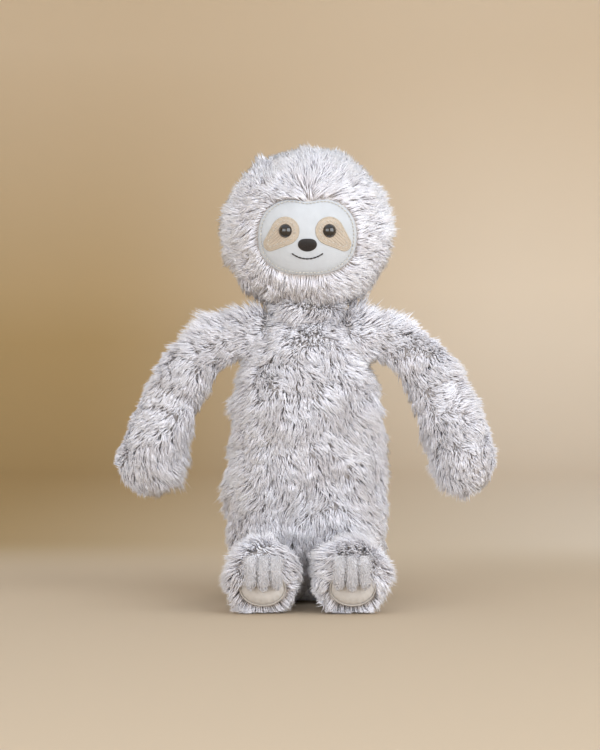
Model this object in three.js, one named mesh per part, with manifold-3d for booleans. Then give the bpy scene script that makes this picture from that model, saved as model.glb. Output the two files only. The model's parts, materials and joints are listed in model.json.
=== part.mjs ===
// A seated plush sloth, facing -Y, standing on the plane z = 0. Millimetres, +Z up.
// The outer face of each fur cover lies in the middle of the pile, and rows of pointed tufts are let into it. The
// sloth's own left side is at +X.
// Head, arms and legs end in stuffed balls that turn against dishes, with a seam ring in each of the joints.

import * as THREE from "three";
import Module from "manifold-3d";

const wasm = await Module();
wasm.setup();

// Cloth and clearances
const coverThickness = 9; // backing cloth with the packed half of its pile
const liningThickness = 4; // cloth behind a dish
const gap = 0.3; // between pieces that touch
const seamThickness = 2.8; // the doubled seam allowance in a joint
const seamRunning = 0.45; // on each side of a seam ring
const dishGrowth = 0.9; // keeps the flat facets of a dish outside its true radius
const seatFlat = 0.5; // what a foot loses where it presses on the ground

// Tufts, the overlapping locks of the pile, with their tips in the outer face of a cover
const tuftPitch = 26; // between rows, and about the width of a tuft
const tuftHeight = 6; // from the root of a tuft up to its tip
const tuftDrop = 10; // from the notches beside a tip down to the tip
const tuftStep = 2.5; // from under a tip to the roots of the next row
const tuftClear = 6; // smooth pile beside a joint, the closing seam and the face
const tuftRise = 16; // beyond that, up to the full height

// Torso, an egg with its widest ring at bellyHeight
const torsoHalfWidth = 77;
const torsoHalfDepth = 60;
const bellyHeight = 90;
const torsoRise = 192; // from the widest ring to the top of the egg
const seatSink = 13; // from the seat down to where the full egg would end
const torsoTopPower = 2.6;
const torsoSeatPower = 2.5;

// Head
const headHalfWidth = 80;
const headHalfDepth = 72;
const headHalfHeight = 77;
const headForward = 4;

// Neck
const neckBallRadius = 18;
const neckStemRadius = 12;
const neckSeamHalfAngle = THREE.MathUtils.degToRad(15);

// Arms, each along a curve from the shoulder that leaves towards the elbow
const shoulderBelowTop = 24; // under the top of the torso
const shoulderStandOff = 13.3; // out of the torso's side
const shoulderBack = 2;
const elbowOut = 68; // from the shoulder
const elbowDown = 3;
const handOut = 101;
const handForward = 12;
const handDown = 126;
const armBallRadius = 20;
const armMidRadius = 27;
const handRadius = 30;
const handCap = 26; // how far the rounded hand runs past the end of the curve

// Legs
const hipInset = 41; // from the torso's widest side in to the hip
const hipStandOff = 8.8; // out of the torso's front
const hipGround = 1.5; // under the leg's ball
const footSplay = 4; // outward of the hip
const legReach = 76; // forward from the hip to where the round end of the foot begins
const legBallRadius = 24;
const legMidRadius = 27;
const footRadius = 34;
const footCap = 26;

// Limb roots, in angles about the limb's own line
const pinchAngle = THREE.MathUtils.degToRad(56); // where the ball gives way to the limb
const seamInnerAngle = THREE.MathUtils.degToRad(24);
const seamOuterAngle = THREE.MathUtils.degToRad(46);
const rootMouthShare = 0.34; // radius of the open end of a limb's cover, as a share of its ball

// Face, in X and Z from the face centre
const faceBelowMiddle = 9; // of the head
const faceHalfWidth = 47;
const faceHalfHeight = 37;
const faceDip = 5; // the notch at the top of the mask
const faceDipHalfWidth = 15;
const faceCornerPower = 2.4;
const panelDepth = 4.6; // from the middle of the pile down to the face of a smooth panel
const panelThickness = 4.1;
const appliqueThickness = 1.2;
const stitchWidth = 2.2;
const stitchHeight = 0.9;
const eyeX = 21;
const eyeZ = 4;
const eyePatchRadius = 12;
const eyePatchTipRadius = 5.5;
const eyePatchLength = 18; // between the centres of the patch's two rounds
const eyePatchSlope = THREE.MathUtils.degToRad(40); // down and outward
const eyeRadius = 6.5;
const eyeDomeHeight = 4.6;
const eyeSeating = 0.2; // under the middle of the eye's flat back
const eyePostRadius = 1.8;
const eyePostLength = 13;
const washerRadius = 7.5;
const washerThickness = 1.6;
const washerSeating = 1.6; // under the middle of the panel's curved back
const noseHalfWidth = 9;
const noseHalfHeight = 6;
const noseZ = -9;
const noseHeight = 2.4;
const mouthRadius = 24;
const mouthCentreZ = 2;
const mouthHalfAngle = THREE.MathUtils.degToRad(38);
const mouthWidth = 1.8;

// Soles and claws
const padHalfWidth = 20;
const padHalfHeight = 15;
const padZ = 23;
const padOpeningDepth = 14; // behind the foot's front
const clawCount = 3;
const clawSpread = 11; // between the middles of neighbouring claws
const clawHalfWidth = 4.6;
const clawHalfThickness = 3;
const clawTipShare = 0.62; // of the claw's width and thickness
const clawRootBelow = 14.5; // under the top of the foot
const clawRootDepth = 6; // from the foot's front back to the middle of a claw's root
const clawKnuckleReach = 3.5; // from the foot's front forward to the middle of the bend
const clawKnuckleDrop = 9; // below the root
const clawTipReach = 5;
const clawTipDrop = 27;

// Filling
const pelletBagHalfWidth = 34;
const pelletBagHalfDepth = 24;
const pelletBagBack = 6; // behind the middle, clear of the hips
const pelletBagHalfHeight = 20;
const pelletBagMiddle = 12; // of the bag above the floor it lies on

// Back closing seam
const closingBelowBelly = 20;
const closingAboveBelly = 60;
const closingThreadRadius = 0.9;
const closingStitches = 14;
const closingStitchHalfWidth = 2.6;
const closingSlotHalfWidth = 3.6;
const closingSlotDepth = 5;

// Facets
const torsoSides = 20;
const torsoRings = 5; // in each half
const torsoEndAngle = THREE.MathUtils.degToRad(72); // of the rings next to its two ends
const torsoSeatAngle = THREE.MathUtils.degToRad(54); // of the ring next to the seat
const outlineFacets = 18;
const limbSides = 14;
const limbTubeRings = 6;
const limbBallRings = 3;
const limbCapRings = 4;
const limbCapPower = 0.375; // a plain ball has 0.5, and less gives blunter ends
const headFacets = 28;
const ballFacets = 16;
const liningFacets = 12;
const seamFacets = 16;
const clawFacets = 8;
const smallFacets = 12;
const threadFacets = 6;

// What follows from the sizes
const torsoDrop = bellyHeight + seatSink;
const torsoTop = bellyHeight + torsoRise;
const shoulderZ = torsoTop - shoulderBelowTop;
const shoulderX = torsoHalfWidth * girthShare(shoulderZ) + shoulderStandOff;
const hipX = torsoHalfWidth - hipInset;
const footX = hipX + footSplay;
const hipZ = legBallRadius + hipGround;
const hipShare = girthShare(hipZ);
const hipInward = Math.sqrt(1 - (hipX / (torsoHalfWidth * hipShare)) ** 2);
const hipY = -torsoHalfDepth * hipShare * hipInward - hipStandOff;
const footY = hipY - legReach;
const footTop = 2 * footRadius - seatFlat;
const clawRootZ = footTop - clawRootBelow;
const closingLow = bellyHeight - closingBelowBelly;
const closingHigh = bellyHeight + closingAboveBelly;
const torsoCentre = new THREE.Vector3(0, 0, bellyHeight);
const neck = new THREE.Vector3(0, 0, torsoTop);
const headCentre = new THREE.Vector3(0, -headForward, torsoTop + headHalfHeight);
const faceZ = headCentre.z - faceBelowMiddle;
const dishMargin = seamThickness + 2 * seamRunning;
const fillingInset = coverThickness + gap;
const liningMargin = dishMargin + liningThickness;
const fillingMargin = liningMargin + gap;
const up = new THREE.Vector3(0, 0, 1);
const ahead = new THREE.Vector3(0, -1, 0);
const sideways = new THREE.Vector3(1, 0, 0);
const sides = { left: 1, right: -1 };
const shoulder = (side) => new THREE.Vector3(side * shoulderX, shoulderBack, shoulderZ);
const hip = (side) => new THREE.Vector3(side * hipX, hipY, hipZ);

// The torso's width or depth at a height, as a share of its widest.
function girthShare(z) {
  const high = (z - bellyHeight) / (z < bellyHeight ? -bellyHeight - seatSink : torsoRise);
  return Math.sqrt(1 - high ** (z < bellyHeight ? torsoSeatPower : torsoTopPower));
}

// Solids

// A closed skin through rings that run counter-clockwise about the way they follow each other.
function skin(firstPole, rings, lastPole) {
  const count = rings[0].length;
  const points = [firstPole, ...rings.flat(), lastPole];
  const at = (ring, side) => 1 + ring * count + (side % count);
  const lastRing = rings.length - 1;
  const faces = [];
  for (let side = 0; side < count; side++) {
    faces.push(0, at(0, side + 1), at(0, side));
    for (let ring = 0; ring < lastRing; ring++) {
      faces.push(at(ring, side), at(ring, side + 1), at(ring + 1, side + 1));
      faces.push(at(ring, side), at(ring + 1, side + 1), at(ring + 1, side));
    }
    faces.push(at(lastRing, side), at(lastRing, side + 1), points.length - 1);
  }
  const vertProperties = new Float32Array(points.flatMap((point) => point.toArray()));
  const triVerts = new Uint32Array(faces);
  return new wasm.Manifold(new wasm.Mesh({ numProp: 3, vertProperties, triVerts }));
}

function ringOf(centre, sideAxis, otherAxis, count) {
  return Array.from({ length: count }, (_, i) => {
    const turn = (2 * Math.PI * i) / count;
    const point = centre.clone().addScaledVector(sideAxis, Math.cos(turn));
    return point.addScaledVector(otherAxis, Math.sin(turn));
  });
}

function ball(centre, radius, facets = ballFacets) {
  return wasm.Manifold.sphere(radius, facets).translate(centre.toArray());
}

// A solid made along +Z, turned to stand along a direction at a point.
function placed(solid, point, direction) {
  const turn = new THREE.Quaternion().setFromUnitVectors(up, direction.clone().normalize());
  const unit = new THREE.Vector3(1, 1, 1);
  return solid.transform(new THREE.Matrix4().compose(point, turn, unit).toArray());
}

function rod(from, to, radius, facets = smallFacets) {
  const along = to.clone().sub(from);
  const made = wasm.Manifold.cylinder(along.length(), radius, radius, facets);
  return placed(made, from, along);
}

function box(low, high) {
  const size = high.clone().sub(low);
  return wasm.Manifold.cube(size.toArray()).translate(low.toArray());
}

function union(solids) {
  return wasm.Manifold.union(solids);
}

// A ring of seam allowance between two spheres about one centre, from one angle off its axis to another.
function seamRing(centre, axis, ballRadius, fromAngle, toAngle) {
  const inner = ballRadius + seamRunning;
  const outer = inner + seamThickness;
  const steps = 2;
  const outline = [];
  for (let i = 0; i <= steps; i++) {
    const angle = toAngle + ((fromAngle - toAngle) * i) / steps;
    outline.push([outer * Math.sin(angle), outer * Math.cos(angle)]);
  }
  for (let i = steps; i >= 0; i--) {
    const angle = toAngle + ((fromAngle - toAngle) * i) / steps;
    outline.push([inner * Math.sin(angle), inner * Math.cos(angle)]);
  }
  const section = new wasm.CrossSection([outline], "Positive");
  return placed(section.revolve(seamFacets), centre, axis);
}

// Tufts

// How many go round a body, in proportion to its girth.
function tuftsAround(radius) {
  return Math.max(Math.round((2 * Math.PI * radius) / tuftPitch), 3);
}

// The share of its full height that a tuft has at a distance from the edge of something that keeps the pile smooth.
function tuftShare(distance) {
  return THREE.MathUtils.smoothstep(distance, tuftClear, tuftClear + tuftRise);
}

// The middles of the rows between two places along the way that the pile lies, about a pitch apart.
function tuftRows(from, to) {
  const steps = Math.max(Math.round((to - from) / tuftPitch), 1);
  return Array.from({ length: steps + 1 }, (_, i) => from + ((to - from) * i) / steps);
}

// The two rings that end a row: tips and notches by turns, then the roots of the next row, close under them. Each
// row is half a tuft further round than the last. pointAt(place, turn, inset) is a point of the surface, with its
// place measured the way that the pile lies, and shareAt(point) is the share of a tuft's full height there.
function tuftRings(row, middle, tufts, pointAt, shareAt) {
  const ring = (step, tipInset, notchInset) =>
    Array.from({ length: 2 * tufts }, (_, i) => {
      const turn = (Math.PI * i) / tufts;
      const isTip = (i + row) % 2 === 0;
      const place = middle + step + (isTip ? tuftDrop : -tuftDrop) / 2;
      const share = shareAt(pointAt(place, turn, 0));
      return pointAt(place, turn, share * (isTip ? tipInset : notchInset));
    });
  return [ring(0, 0, tuftHeight / 2), ring(tuftStep, tuftHeight, tuftHeight)];
}

// A smooth ring of as many points.
function plainRing(place, tufts, pointAt) {
  return Array.from({ length: 2 * tufts }, (_, i) => pointAt(place, (Math.PI * i) / tufts, 0));
}

// Torso
function torsoShape(inset) {
  const rings = [];
  for (let i = 1 - torsoRings; i < torsoRings; i++) {
    const angle = (Math.PI / 2) * (i / torsoRings);
    const high = Math.abs(Math.sin(angle));
    const above = (torsoRise - inset) * high ** (2 / torsoTopPower);
    const below = (torsoDrop - inset) * high ** (2 / torsoSeatPower);
    const centre = torsoCentre.clone().addScaledVector(up, i < 0 ? -below : above);
    const sideAxis = sideways.clone().multiplyScalar((torsoHalfWidth - inset) * Math.cos(angle));
    const otherAxis = ahead.clone().multiplyScalar((inset - torsoHalfDepth) * Math.cos(angle));
    rings.push(ringOf(centre, sideAxis, otherAxis, torsoSides));
  }
  const bottom = torsoCentre.clone().addScaledVector(up, inset - torsoDrop);
  const top = torsoCentre.clone().addScaledVector(up, torsoRise - inset);
  return skin(bottom, rings, top).trimByPlane(up.toArray(), inset);
}

// The torso's furry outside, with its places measured down from its top.
function torsoFur() {
  const tufts = tuftsAround((torsoHalfWidth + torsoHalfDepth) / 2);
  const pointAt = (place, turn, inset) => {
    const z = torsoTop - place;
    const share = girthShare(z);
    const x = (torsoHalfWidth * share - inset) * Math.cos(turn);
    return new THREE.Vector3(x, (inset - torsoHalfDepth * share) * Math.sin(turn), z);
  };
  const dishes = [{ centre: neck, radius: neckBallRadius + dishMargin }];
  for (const side of Object.values(sides)) {
    dishes.push({ centre: shoulder(side), radius: armBallRadius + dishMargin });
    dishes.push({ centre: hip(side), radius: legBallRadius + dishMargin });
  }
  const shareAt = (point) => {
    const distances = dishes.map(({ centre, radius }) => centre.distanceTo(point) - radius);
    const besideSeam = Math.abs(point.x) - closingSlotHalfWidth - tuftClear;
    const pastSeam = Math.max(closingLow - point.z, point.z - closingHigh);
    if (point.y > 0) distances.push(Math.max(besideSeam, pastSeam));
    return tuftShare(Math.min(...distances));
  };
  const topPlace = torsoRise * (1 - Math.sin(torsoEndAngle) ** (2 / torsoTopPower));
  const seatPlace = (angle) => torsoRise + torsoDrop * Math.sin(angle) ** (2 / torsoSeatPower);
  const rows = tuftRows(tuftPitch, torsoTop - tuftPitch);
  const rings = [
    plainRing(topPlace, tufts, pointAt),
    ...rows.flatMap((middle, row) => tuftRings(row, middle, tufts, pointAt, shareAt)),
    plainRing(seatPlace(torsoSeatAngle), tufts, pointAt),
    plainRing(seatPlace(torsoEndAngle), tufts, pointAt),
  ];
  return grounded(skin(pointAt(0, 0, 0), rings, pointAt(torsoRise + torsoDrop, 0, 0)));
}

// The room that the joints need in the torso: a dish for each ball, and below a hip the way of the hanging leg.
function jointRoom(margin, facets) {
  const rooms = [ball(neck, neckBallRadius + margin, facets)];
  for (const side of Object.values(sides)) {
    rooms.push(ball(shoulder(side), armBallRadius + margin, facets));
    rooms.push(ball(hip(side), legBallRadius + margin, facets));
    const below = hip(side).addScaledVector(up, -2 * hipZ);
    rooms.push(rod(below, hip(side), legBallRadius + margin, facets));
  }
  return union(rooms);
}

function closingSlot() {
  const low = new THREE.Vector3(-closingSlotHalfWidth, 0, closingLow - closingSlotHalfWidth);
  const high = new THREE.Vector3(closingSlotHalfWidth, 2 * torsoHalfDepth, closingHigh + closingSlotHalfWidth);
  return box(low, high).subtract(torsoShape(closingSlotDepth));
}

// A point of the torso's back, a given way under its surface.
function backPoint(z, depth) {
  return new THREE.Vector3(0, torsoHalfDepth * girthShare(z) - depth, z);
}

// One thread that crosses from side to side as it climbs.
function closingSeam() {
  const depth = closingSlotDepth - 2 * gap - closingThreadRadius;
  const sideAxis = sideways.clone().multiplyScalar(closingThreadRadius);
  const otherAxis = ahead.clone().multiplyScalar(-closingThreadRadius);
  const centres = Array.from({ length: closingStitches + 1 }, (_, i) => {
    const z = closingLow + ((closingHigh - closingLow) * i) / closingStitches;
    const point = backPoint(z, depth);
    return point.setX(i % 2 === 0 ? -closingStitchHalfWidth : closingStitchHalfWidth);
  });
  const rings = centres.map((centre) => ringOf(centre, sideAxis, otherAxis, threadFacets));
  const bottom = centres[0].clone().addScaledVector(up, -closingThreadRadius);
  const top = centres.at(-1).clone().addScaledVector(up, closingThreadRadius);
  return skin(bottom, rings, top);
}

function pelletBag(extra) {
  const floor = fillingInset;
  const half = [pelletBagHalfWidth + extra, pelletBagHalfDepth + extra, pelletBagHalfHeight + extra];
  const bag = wasm.Manifold.sphere(1, ballFacets).scale(half);
  return bag.translate([0, pelletBagBack, floor + pelletBagMiddle]).trimByPlane(up.toArray(), floor - extra);
}

function neckStem(radius) {
  const below = neck.clone().addScaledVector(up, -2 * neckBallRadius - fillingMargin);
  return rod(below, neck, radius);
}

function torsoCover() {
  const inside = torsoShape(coverThickness).subtract(jointRoom(liningMargin, liningFacets));
  const shell = torsoFur().subtract(jointRoom(dishMargin + dishGrowth, ballFacets)).subtract(inside);
  return shell.subtract(neckStem(neckStemRadius + gap)).subtract(closingSlot());
}

function torsoFilling() {
  const body = torsoShape(fillingInset).subtract(jointRoom(fillingMargin, liningFacets));
  const plug = ball(neck, neckBallRadius).add(neckStem(neckStemRadius));
  return body.add(plug).subtract(pelletBag(gap));
}

// Head
function headShape(inset) {
  const half = [headHalfWidth - inset, headHalfDepth - inset, headHalfHeight - inset];
  return wasm.Manifold.sphere(1, headFacets).scale(half).translate(headCentre.toArray());
}

// The head's furry outside, with its places measured down from the crown.
function headFur() {
  const meanRadius = (headHalfWidth + headHalfHeight) / 2;
  const tufts = tuftsAround(meanRadius);
  const pointAt = (place, turn, inset) => {
    const angle = place / meanRadius;
    const x = (headHalfWidth - inset) * Math.sin(angle) * Math.cos(turn);
    const y = (inset - headHalfDepth) * Math.sin(angle) * Math.sin(turn);
    return new THREE.Vector3(x, y, (headHalfHeight - inset) * Math.cos(angle)).add(headCentre);
  };
  const shareAt = (point) => {
    const fromNeck = neck.distanceTo(point) - neckBallRadius - dishMargin;
    const offset = point.clone().sub(headCentre);
    const acrossFace = Math.hypot(point.x / faceHalfWidth, (point.z - faceZ) / faceHalfHeight);
    const fromFace = offset.y < 0 ? (acrossFace - 1) * faceHalfHeight : Infinity;
    const crowding = Math.min((1.6 * Math.hypot(offset.x, offset.y)) / meanRadius, 1);
    return tuftShare(Math.min(fromNeck, fromFace)) * crowding;
  };
  const end = Math.PI * meanRadius;
  const rings = [
    plainRing(tuftPitch / 2, tufts, pointAt),
    ...tuftRows(tuftPitch, end - 1.5 * tuftPitch).flatMap((middle, row) =>
      tuftRings(row, middle, tufts, pointAt, shareAt),
    ),
    plainRing(end - tuftPitch / 2, tufts, pointAt),
  ];
  return skin(pointAt(0, 0, 0), rings, pointAt(end, 0, 0));
}

// The point of the head's front a given way under its surface, and the direction that it faces.
function headFront(x, z, inset) {
  const offset = z - headCentre.z;
  const shareX = x / (headHalfWidth - inset);
  const shareZ = offset / (headHalfHeight - inset);
  const depth = headHalfDepth - inset;
  const y = -depth * Math.sqrt(1 - shareX ** 2 - shareZ ** 2);
  const point = new THREE.Vector3(x, headCentre.y + y, z);
  const facing = new THREE.Vector3(
    x / headHalfWidth ** 2,
    y / headHalfDepth ** 2,
    offset / headHalfHeight ** 2,
  );
  return { point, facing: facing.normalize() };
}

// A flat outline in X and Z, run forward as a prism from a plane y = from.
function prism(outline, from, length) {
  return outline.extrude(length).rotate([90, 0, 0]).translate([0, from, 0]);
}

function offsetOutline(outline, by) {
  return outline.offset(by, "Miter", 2);
}

function band(outline, width) {
  return outline.subtract(offsetOutline(outline, -width));
}

function disc(x, z, halfWidth, halfHeight = halfWidth) {
  const round = wasm.CrossSection.circle(1, outlineFacets);
  return round.scale([halfWidth, halfHeight]).translate([x, z]);
}

function faceOutline() {
  const points = [];
  const steps = 28;
  for (let i = 0; i < steps; i++) {
    const turn = (2 * Math.PI * i) / steps;
    const right = Math.cos(turn);
    const high = Math.sin(turn);
    const x = faceHalfWidth * Math.sign(right) * Math.abs(right) ** (2 / faceCornerPower);
    let z = faceHalfHeight * Math.sign(high) * Math.abs(high) ** (2 / faceCornerPower);
    if (high > 0) z -= faceDip * Math.exp(-((x / faceDipHalfWidth) ** 2));
    points.push([x, faceZ + z]);
  }
  return new wasm.CrossSection([points], "Positive");
}

// A piece of cloth of some outline on the head's front, between two depths below the middle of the pile.
function faceLayer(outline, outerInset, innerInset) {
  const prismPiece = prism(outline, headCentre.y, 2 * headHalfDepth);
  return headShape(outerInset).subtract(headShape(innerInset)).intersect(prismPiece);
}

function raised(outline, height) {
  const back = panelDepth - gap;
  return faceLayer(outline, back - height, back);
}

function eyePatchOutline(side) {
  const alongX = Math.cos(eyePatchSlope) * eyePatchLength;
  const alongZ = Math.sin(eyePatchSlope) * eyePatchLength;
  const round = disc(side * eyeX, faceZ + eyeZ, eyePatchRadius);
  const tip = disc(side * (eyeX + alongX), faceZ + eyeZ - alongZ, eyePatchTipRadius);
  return wasm.CrossSection.hull([round, tip]);
}

function eyeAxis(side) {
  return headFront(side * eyeX, faceZ + eyeZ, panelDepth - gap - appliqueThickness);
}

function eyeHole(side) {
  const { point, facing } = eyeAxis(side);
  const inner = point.clone().addScaledVector(facing, -eyePostLength - 2 * gap);
  return rod(inner, point.clone().addScaledVector(facing, 2), eyePostRadius + gap);
}

function eye(side) {
  const { point, facing } = eyeAxis(side);
  const domeRadius = (eyeRadius ** 2 + eyeDomeHeight ** 2) / (2 * eyeDomeHeight);
  const sphere = wasm.Manifold.sphere(domeRadius, 2 * smallFacets);
  const dome = sphere.translate([0, 0, eyeDomeHeight - domeRadius]).trimByPlane(up.toArray(), 0);
  const post = wasm.Manifold.cylinder(eyePostLength, eyePostRadius, eyePostRadius, smallFacets);
  const whole = dome.add(post.translate([0, 0, 1 - eyePostLength]));
  return placed(whole, point.clone().addScaledVector(facing, eyeSeating), facing);
}

// The washer's own disc, or the pocket it lies in when it is made larger.
function eyeWasher(side, extra) {
  const { point, facing } = eyeAxis(side);
  const down = appliqueThickness + gap + panelThickness + washerSeating;
  const top = point.clone().addScaledVector(facing, extra * 3 - down);
  const bottom = point.clone().addScaledVector(facing, -down - washerThickness - extra);
  return rod(bottom, top, washerRadius + extra, 2 * smallFacets);
}

function mouthOutline() {
  const points = [];
  const steps = 14;
  const radii = [mouthRadius + mouthWidth / 2, mouthRadius - mouthWidth / 2];
  radii.forEach((radius, edge) => {
    for (let i = 0; i <= steps; i++) {
      const share = edge === 0 ? i / steps : 1 - i / steps;
      const angle = mouthHalfAngle * (2 * share - 1);
      points.push([radius * Math.sin(angle), faceZ + mouthCentreZ - radius * Math.cos(angle)]);
    }
  });
  return new wasm.CrossSection([points], "Positive");
}

function headCover() {
  const inside = headShape(coverThickness).subtract(ball(neck, neckBallRadius + liningMargin, liningFacets));
  const shell = headFur().subtract(ball(neck, neckBallRadius + dishMargin + dishGrowth)).subtract(inside);
  return shell.subtract(prism(faceOutline(), headCentre.y, 2 * headHalfDepth));
}

function headFilling() {
  const body = headShape(fillingInset).subtract(ball(neck, neckBallRadius + fillingMargin, liningFacets));
  const rooms = Object.values(sides).flatMap((side) => [eyeHole(side), eyeWasher(side, gap)]);
  return body.subtract(union(rooms));
}

// Limbs

// A ball at the root, a pinch where the limb is gathered to its seam, a swelling tube and a round end. A place is
// measured along its line from the middle of the ball and on through the round end, and the turn is about the line.
// The inset gives the inside of its cover, and the flank is a direction that the line never takes.
function limbPoint(shape, place, turn, inset) {
  const { line, flank, ballRadius, midRadius, endRadius, cap } = shape;
  const length = line.getLength();
  const at = THREE.MathUtils.clamp(place / length, 0, 1);
  const way = line.getTangentAt(at);
  const centre = line.getPointAt(at).addScaledVector(way, place - at * length);
  const pinchPlace = ballRadius * Math.cos(pinchAngle);
  const pinchRadius = ballRadius * Math.sin(pinchAngle);
  const share = (place - pinchPlace) / (length - pinchPlace);
  const waist = THREE.MathUtils.smoothstep(share, 0, 0.55);
  const swell = THREE.MathUtils.smoothstep(share, 0.4, 1);
  let radius = pinchRadius + (midRadius - pinchRadius) * waist + (endRadius - midRadius) * swell - inset;
  if (share <= 0) radius = Math.sqrt(Math.max((ballRadius - inset) ** 2 - place ** 2, 0));
  if (place > length) {
    const past = Math.min((place - length) / (cap - inset), 1);
    radius = (endRadius - inset) * (1 - past ** 2) ** limbCapPower;
  }
  const sideAxis = flank.clone().addScaledVector(way, -flank.dot(way)).normalize();
  const otherAxis = way.clone().cross(sideAxis);
  centre.addScaledVector(sideAxis, radius * Math.cos(turn));
  return centre.addScaledVector(otherAxis, radius * Math.sin(turn));
}

// The places of the rings round a limb's ball and round its end.
function ballPlaces({ ballRadius }, inset) {
  return Array.from({ length: limbBallRings }, (_, i) => {
    const angle = Math.PI - ((Math.PI - pinchAngle) * (i + 1)) / limbBallRings;
    return (ballRadius - inset) * Math.cos(angle);
  });
}

function capPlaces({ line, cap }, inset) {
  return Array.from({ length: limbCapRings - 1 }, (_, i) => {
    const angle = ((Math.PI / 2) * (i + 1)) / limbCapRings;
    return line.getLength() + (cap - inset) * Math.sin(angle);
  });
}

function limb(shape, inset) {
  const { line, ballRadius, cap } = shape;
  const length = line.getLength();
  const pinchPlace = ballRadius * Math.cos(pinchAngle);
  const tube = Array.from({ length: limbTubeRings }, (_, i) => {
    return pinchPlace + ((length - pinchPlace) * (i + 1)) / limbTubeRings;
  });
  const places = [...ballPlaces(shape, inset), ...tube, ...capPlaces(shape, inset)];
  const rings = places.map((place) =>
    Array.from({ length: limbSides }, (_, i) => {
      return limbPoint(shape, place, (2 * Math.PI * i) / limbSides, inset);
    }),
  );
  const rootPole = limbPoint(shape, inset - ballRadius, 0, inset);
  return skin(rootPole, rings, limbPoint(shape, length + cap - inset, 0, inset));
}

// A limb's furry outside. The tufts of a leg end before the pad and the claws.
function limbFur(shape) {
  const { line, ballRadius, endRadius, cap, tuftsEnd } = shape;
  const tufts = tuftsAround(endRadius);
  const pointAt = (place, turn, inset) => limbPoint(shape, place, turn, inset);
  const length = line.getLength();
  const middle = line.getPointAt(0);
  const shareAt = (point) => tuftShare(middle.distanceTo(point) - ballRadius);
  const first = ballRadius + tuftPitch / 2;
  const rowEnd = tuftsEnd + tuftDrop / 2 + 2 * tuftStep;
  const caps = [length, ...capPlaces(shape, 0)].filter((place) => place > rowEnd);
  const rings = [
    ...ballPlaces(shape, 0).map((place) => plainRing(place, tufts, pointAt)),
    ...tuftRows(first, tuftsEnd).flatMap((place, row) => tuftRings(row, place, tufts, pointAt, shareAt)),
    ...caps.map((place) => plainRing(place, tufts, pointAt)),
  ];
  return skin(pointAt(-ballRadius, 0, 0), rings, pointAt(length + cap, 0, 0));
}

// The open end of a limb's cover, where the filling looks out at the seam.
function rootMouth(shape) {
  const way = shape.line.getTangentAt(0);
  const from = shape.line.getPointAt(0);
  const to = from.clone().addScaledVector(way, -2 * shape.ballRadius);
  return rod(from, to, shape.ballRadius * rootMouthShare);
}

function limbCover(shape) {
  return limbFur(shape).subtract(limb(shape, coverThickness)).subtract(rootMouth(shape));
}

function limbSeam(shape) {
  const inward = shape.line.getTangentAt(0).negate();
  const centre = shape.line.getPointAt(0);
  return seamRing(centre, inward, shape.ballRadius, seamInnerAngle, seamOuterAngle);
}

function armShape(side) {
  const elbow = shoulder(side).add(new THREE.Vector3(side * elbowOut, 0, -elbowDown));
  const hand = shoulder(side).add(new THREE.Vector3(side * handOut, -handForward, -handDown));
  const line = new THREE.QuadraticBezierCurve3(shoulder(side), elbow, hand);
  const radii = { ballRadius: armBallRadius, midRadius: armMidRadius, endRadius: handRadius };
  return { line, flank: ahead, cap: handCap, tuftsEnd: line.getLength(), ...radii };
}

function legShape(side) {
  const foot = new THREE.Vector3(side * footX, footY, footRadius - seatFlat);
  const line = new THREE.LineCurve3(hip(side), foot);
  const radii = { ballRadius: legBallRadius, midRadius: legMidRadius, endRadius: footRadius };
  return { line, flank: up, cap: footCap, tuftsEnd: legReach - tuftPitch * 0.6, ...radii };
}

function grounded(solid) {
  return solid.trimByPlane(up.toArray(), 0);
}

function padOutline(side) {
  return disc(side * footX, padZ, padHalfWidth, padHalfHeight);
}

// A prism through the foot's front, as deep as the opening for the pad.
function solePrism(outline) {
  return prism(outline, footY - footCap + padOpeningDepth, 2 * padOpeningDepth);
}

function soleLayer(side, outline, outerInset, innerInset) {
  const shape = legShape(side);
  return limb(shape, outerInset).subtract(limb(shape, innerInset)).intersect(solePrism(outline));
}

// One end or the bend of a claw, a flattened ball.
function clawLump(centre, share, extra) {
  const width = clawHalfWidth * share + extra;
  const half = [width, clawHalfThickness * share + extra, width];
  return wasm.Manifold.sphere(1, clawFacets).scale(half).translate(centre.toArray());
}

function claw(side, place, extra) {
  const x = side * (footX + (place - (clawCount - 1) / 2) * clawSpread);
  const front = footY - footCap;
  const bend = new THREE.Vector3(x, front - clawKnuckleReach, clawRootZ - clawKnuckleDrop);
  const tip = new THREE.Vector3(x, front - clawTipReach, clawRootZ - clawTipDrop);
  const rootLump = clawLump(new THREE.Vector3(x, front + clawRootDepth, clawRootZ), 1, extra);
  const bendLump = clawLump(bend, 1, extra);
  const back = wasm.Manifold.hull([rootLump, bendLump]);
  return back.add(wasm.Manifold.hull([bendLump, clawLump(tip, clawTipShare, extra)]));
}

function claws(side, extra) {
  return Array.from({ length: clawCount }, (_, place) => claw(side, place, extra));
}

function legCover(side) {
  const open = limbCover(legShape(side)).subtract(solePrism(padOutline(side)));
  return grounded(open.subtract(union(claws(side, gap))));
}

function legFilling(side) {
  const shape = legShape(side);
  return limb(shape, fillingInset).subtract(union(claws(side, gap)));
}

// Nodes
const colours = {
  fur: 0xc9c6c3,
  filling: 0xf4f3ee,
  pellets: 0x8d9496,
  face_fabric: 0xe0e0df,
  patch_fabric: 0x7b6657,
  thread: 0x4b3d35,
  eye_plastic: 0x0b0908,
  washer_plastic: 0xe8e8e4,
  pad_fabric: 0xcdbfa9,
  claw_felt: 0xe6e0d2,
};
const materials = {};
for (const [slot, color] of Object.entries(colours)) {
  materials[slot] = new THREE.MeshStandardMaterial({ name: slot, color, roughness: 0.9 });
}

const group = new THREE.Group();
group.name = "plush_sloth";

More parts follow.
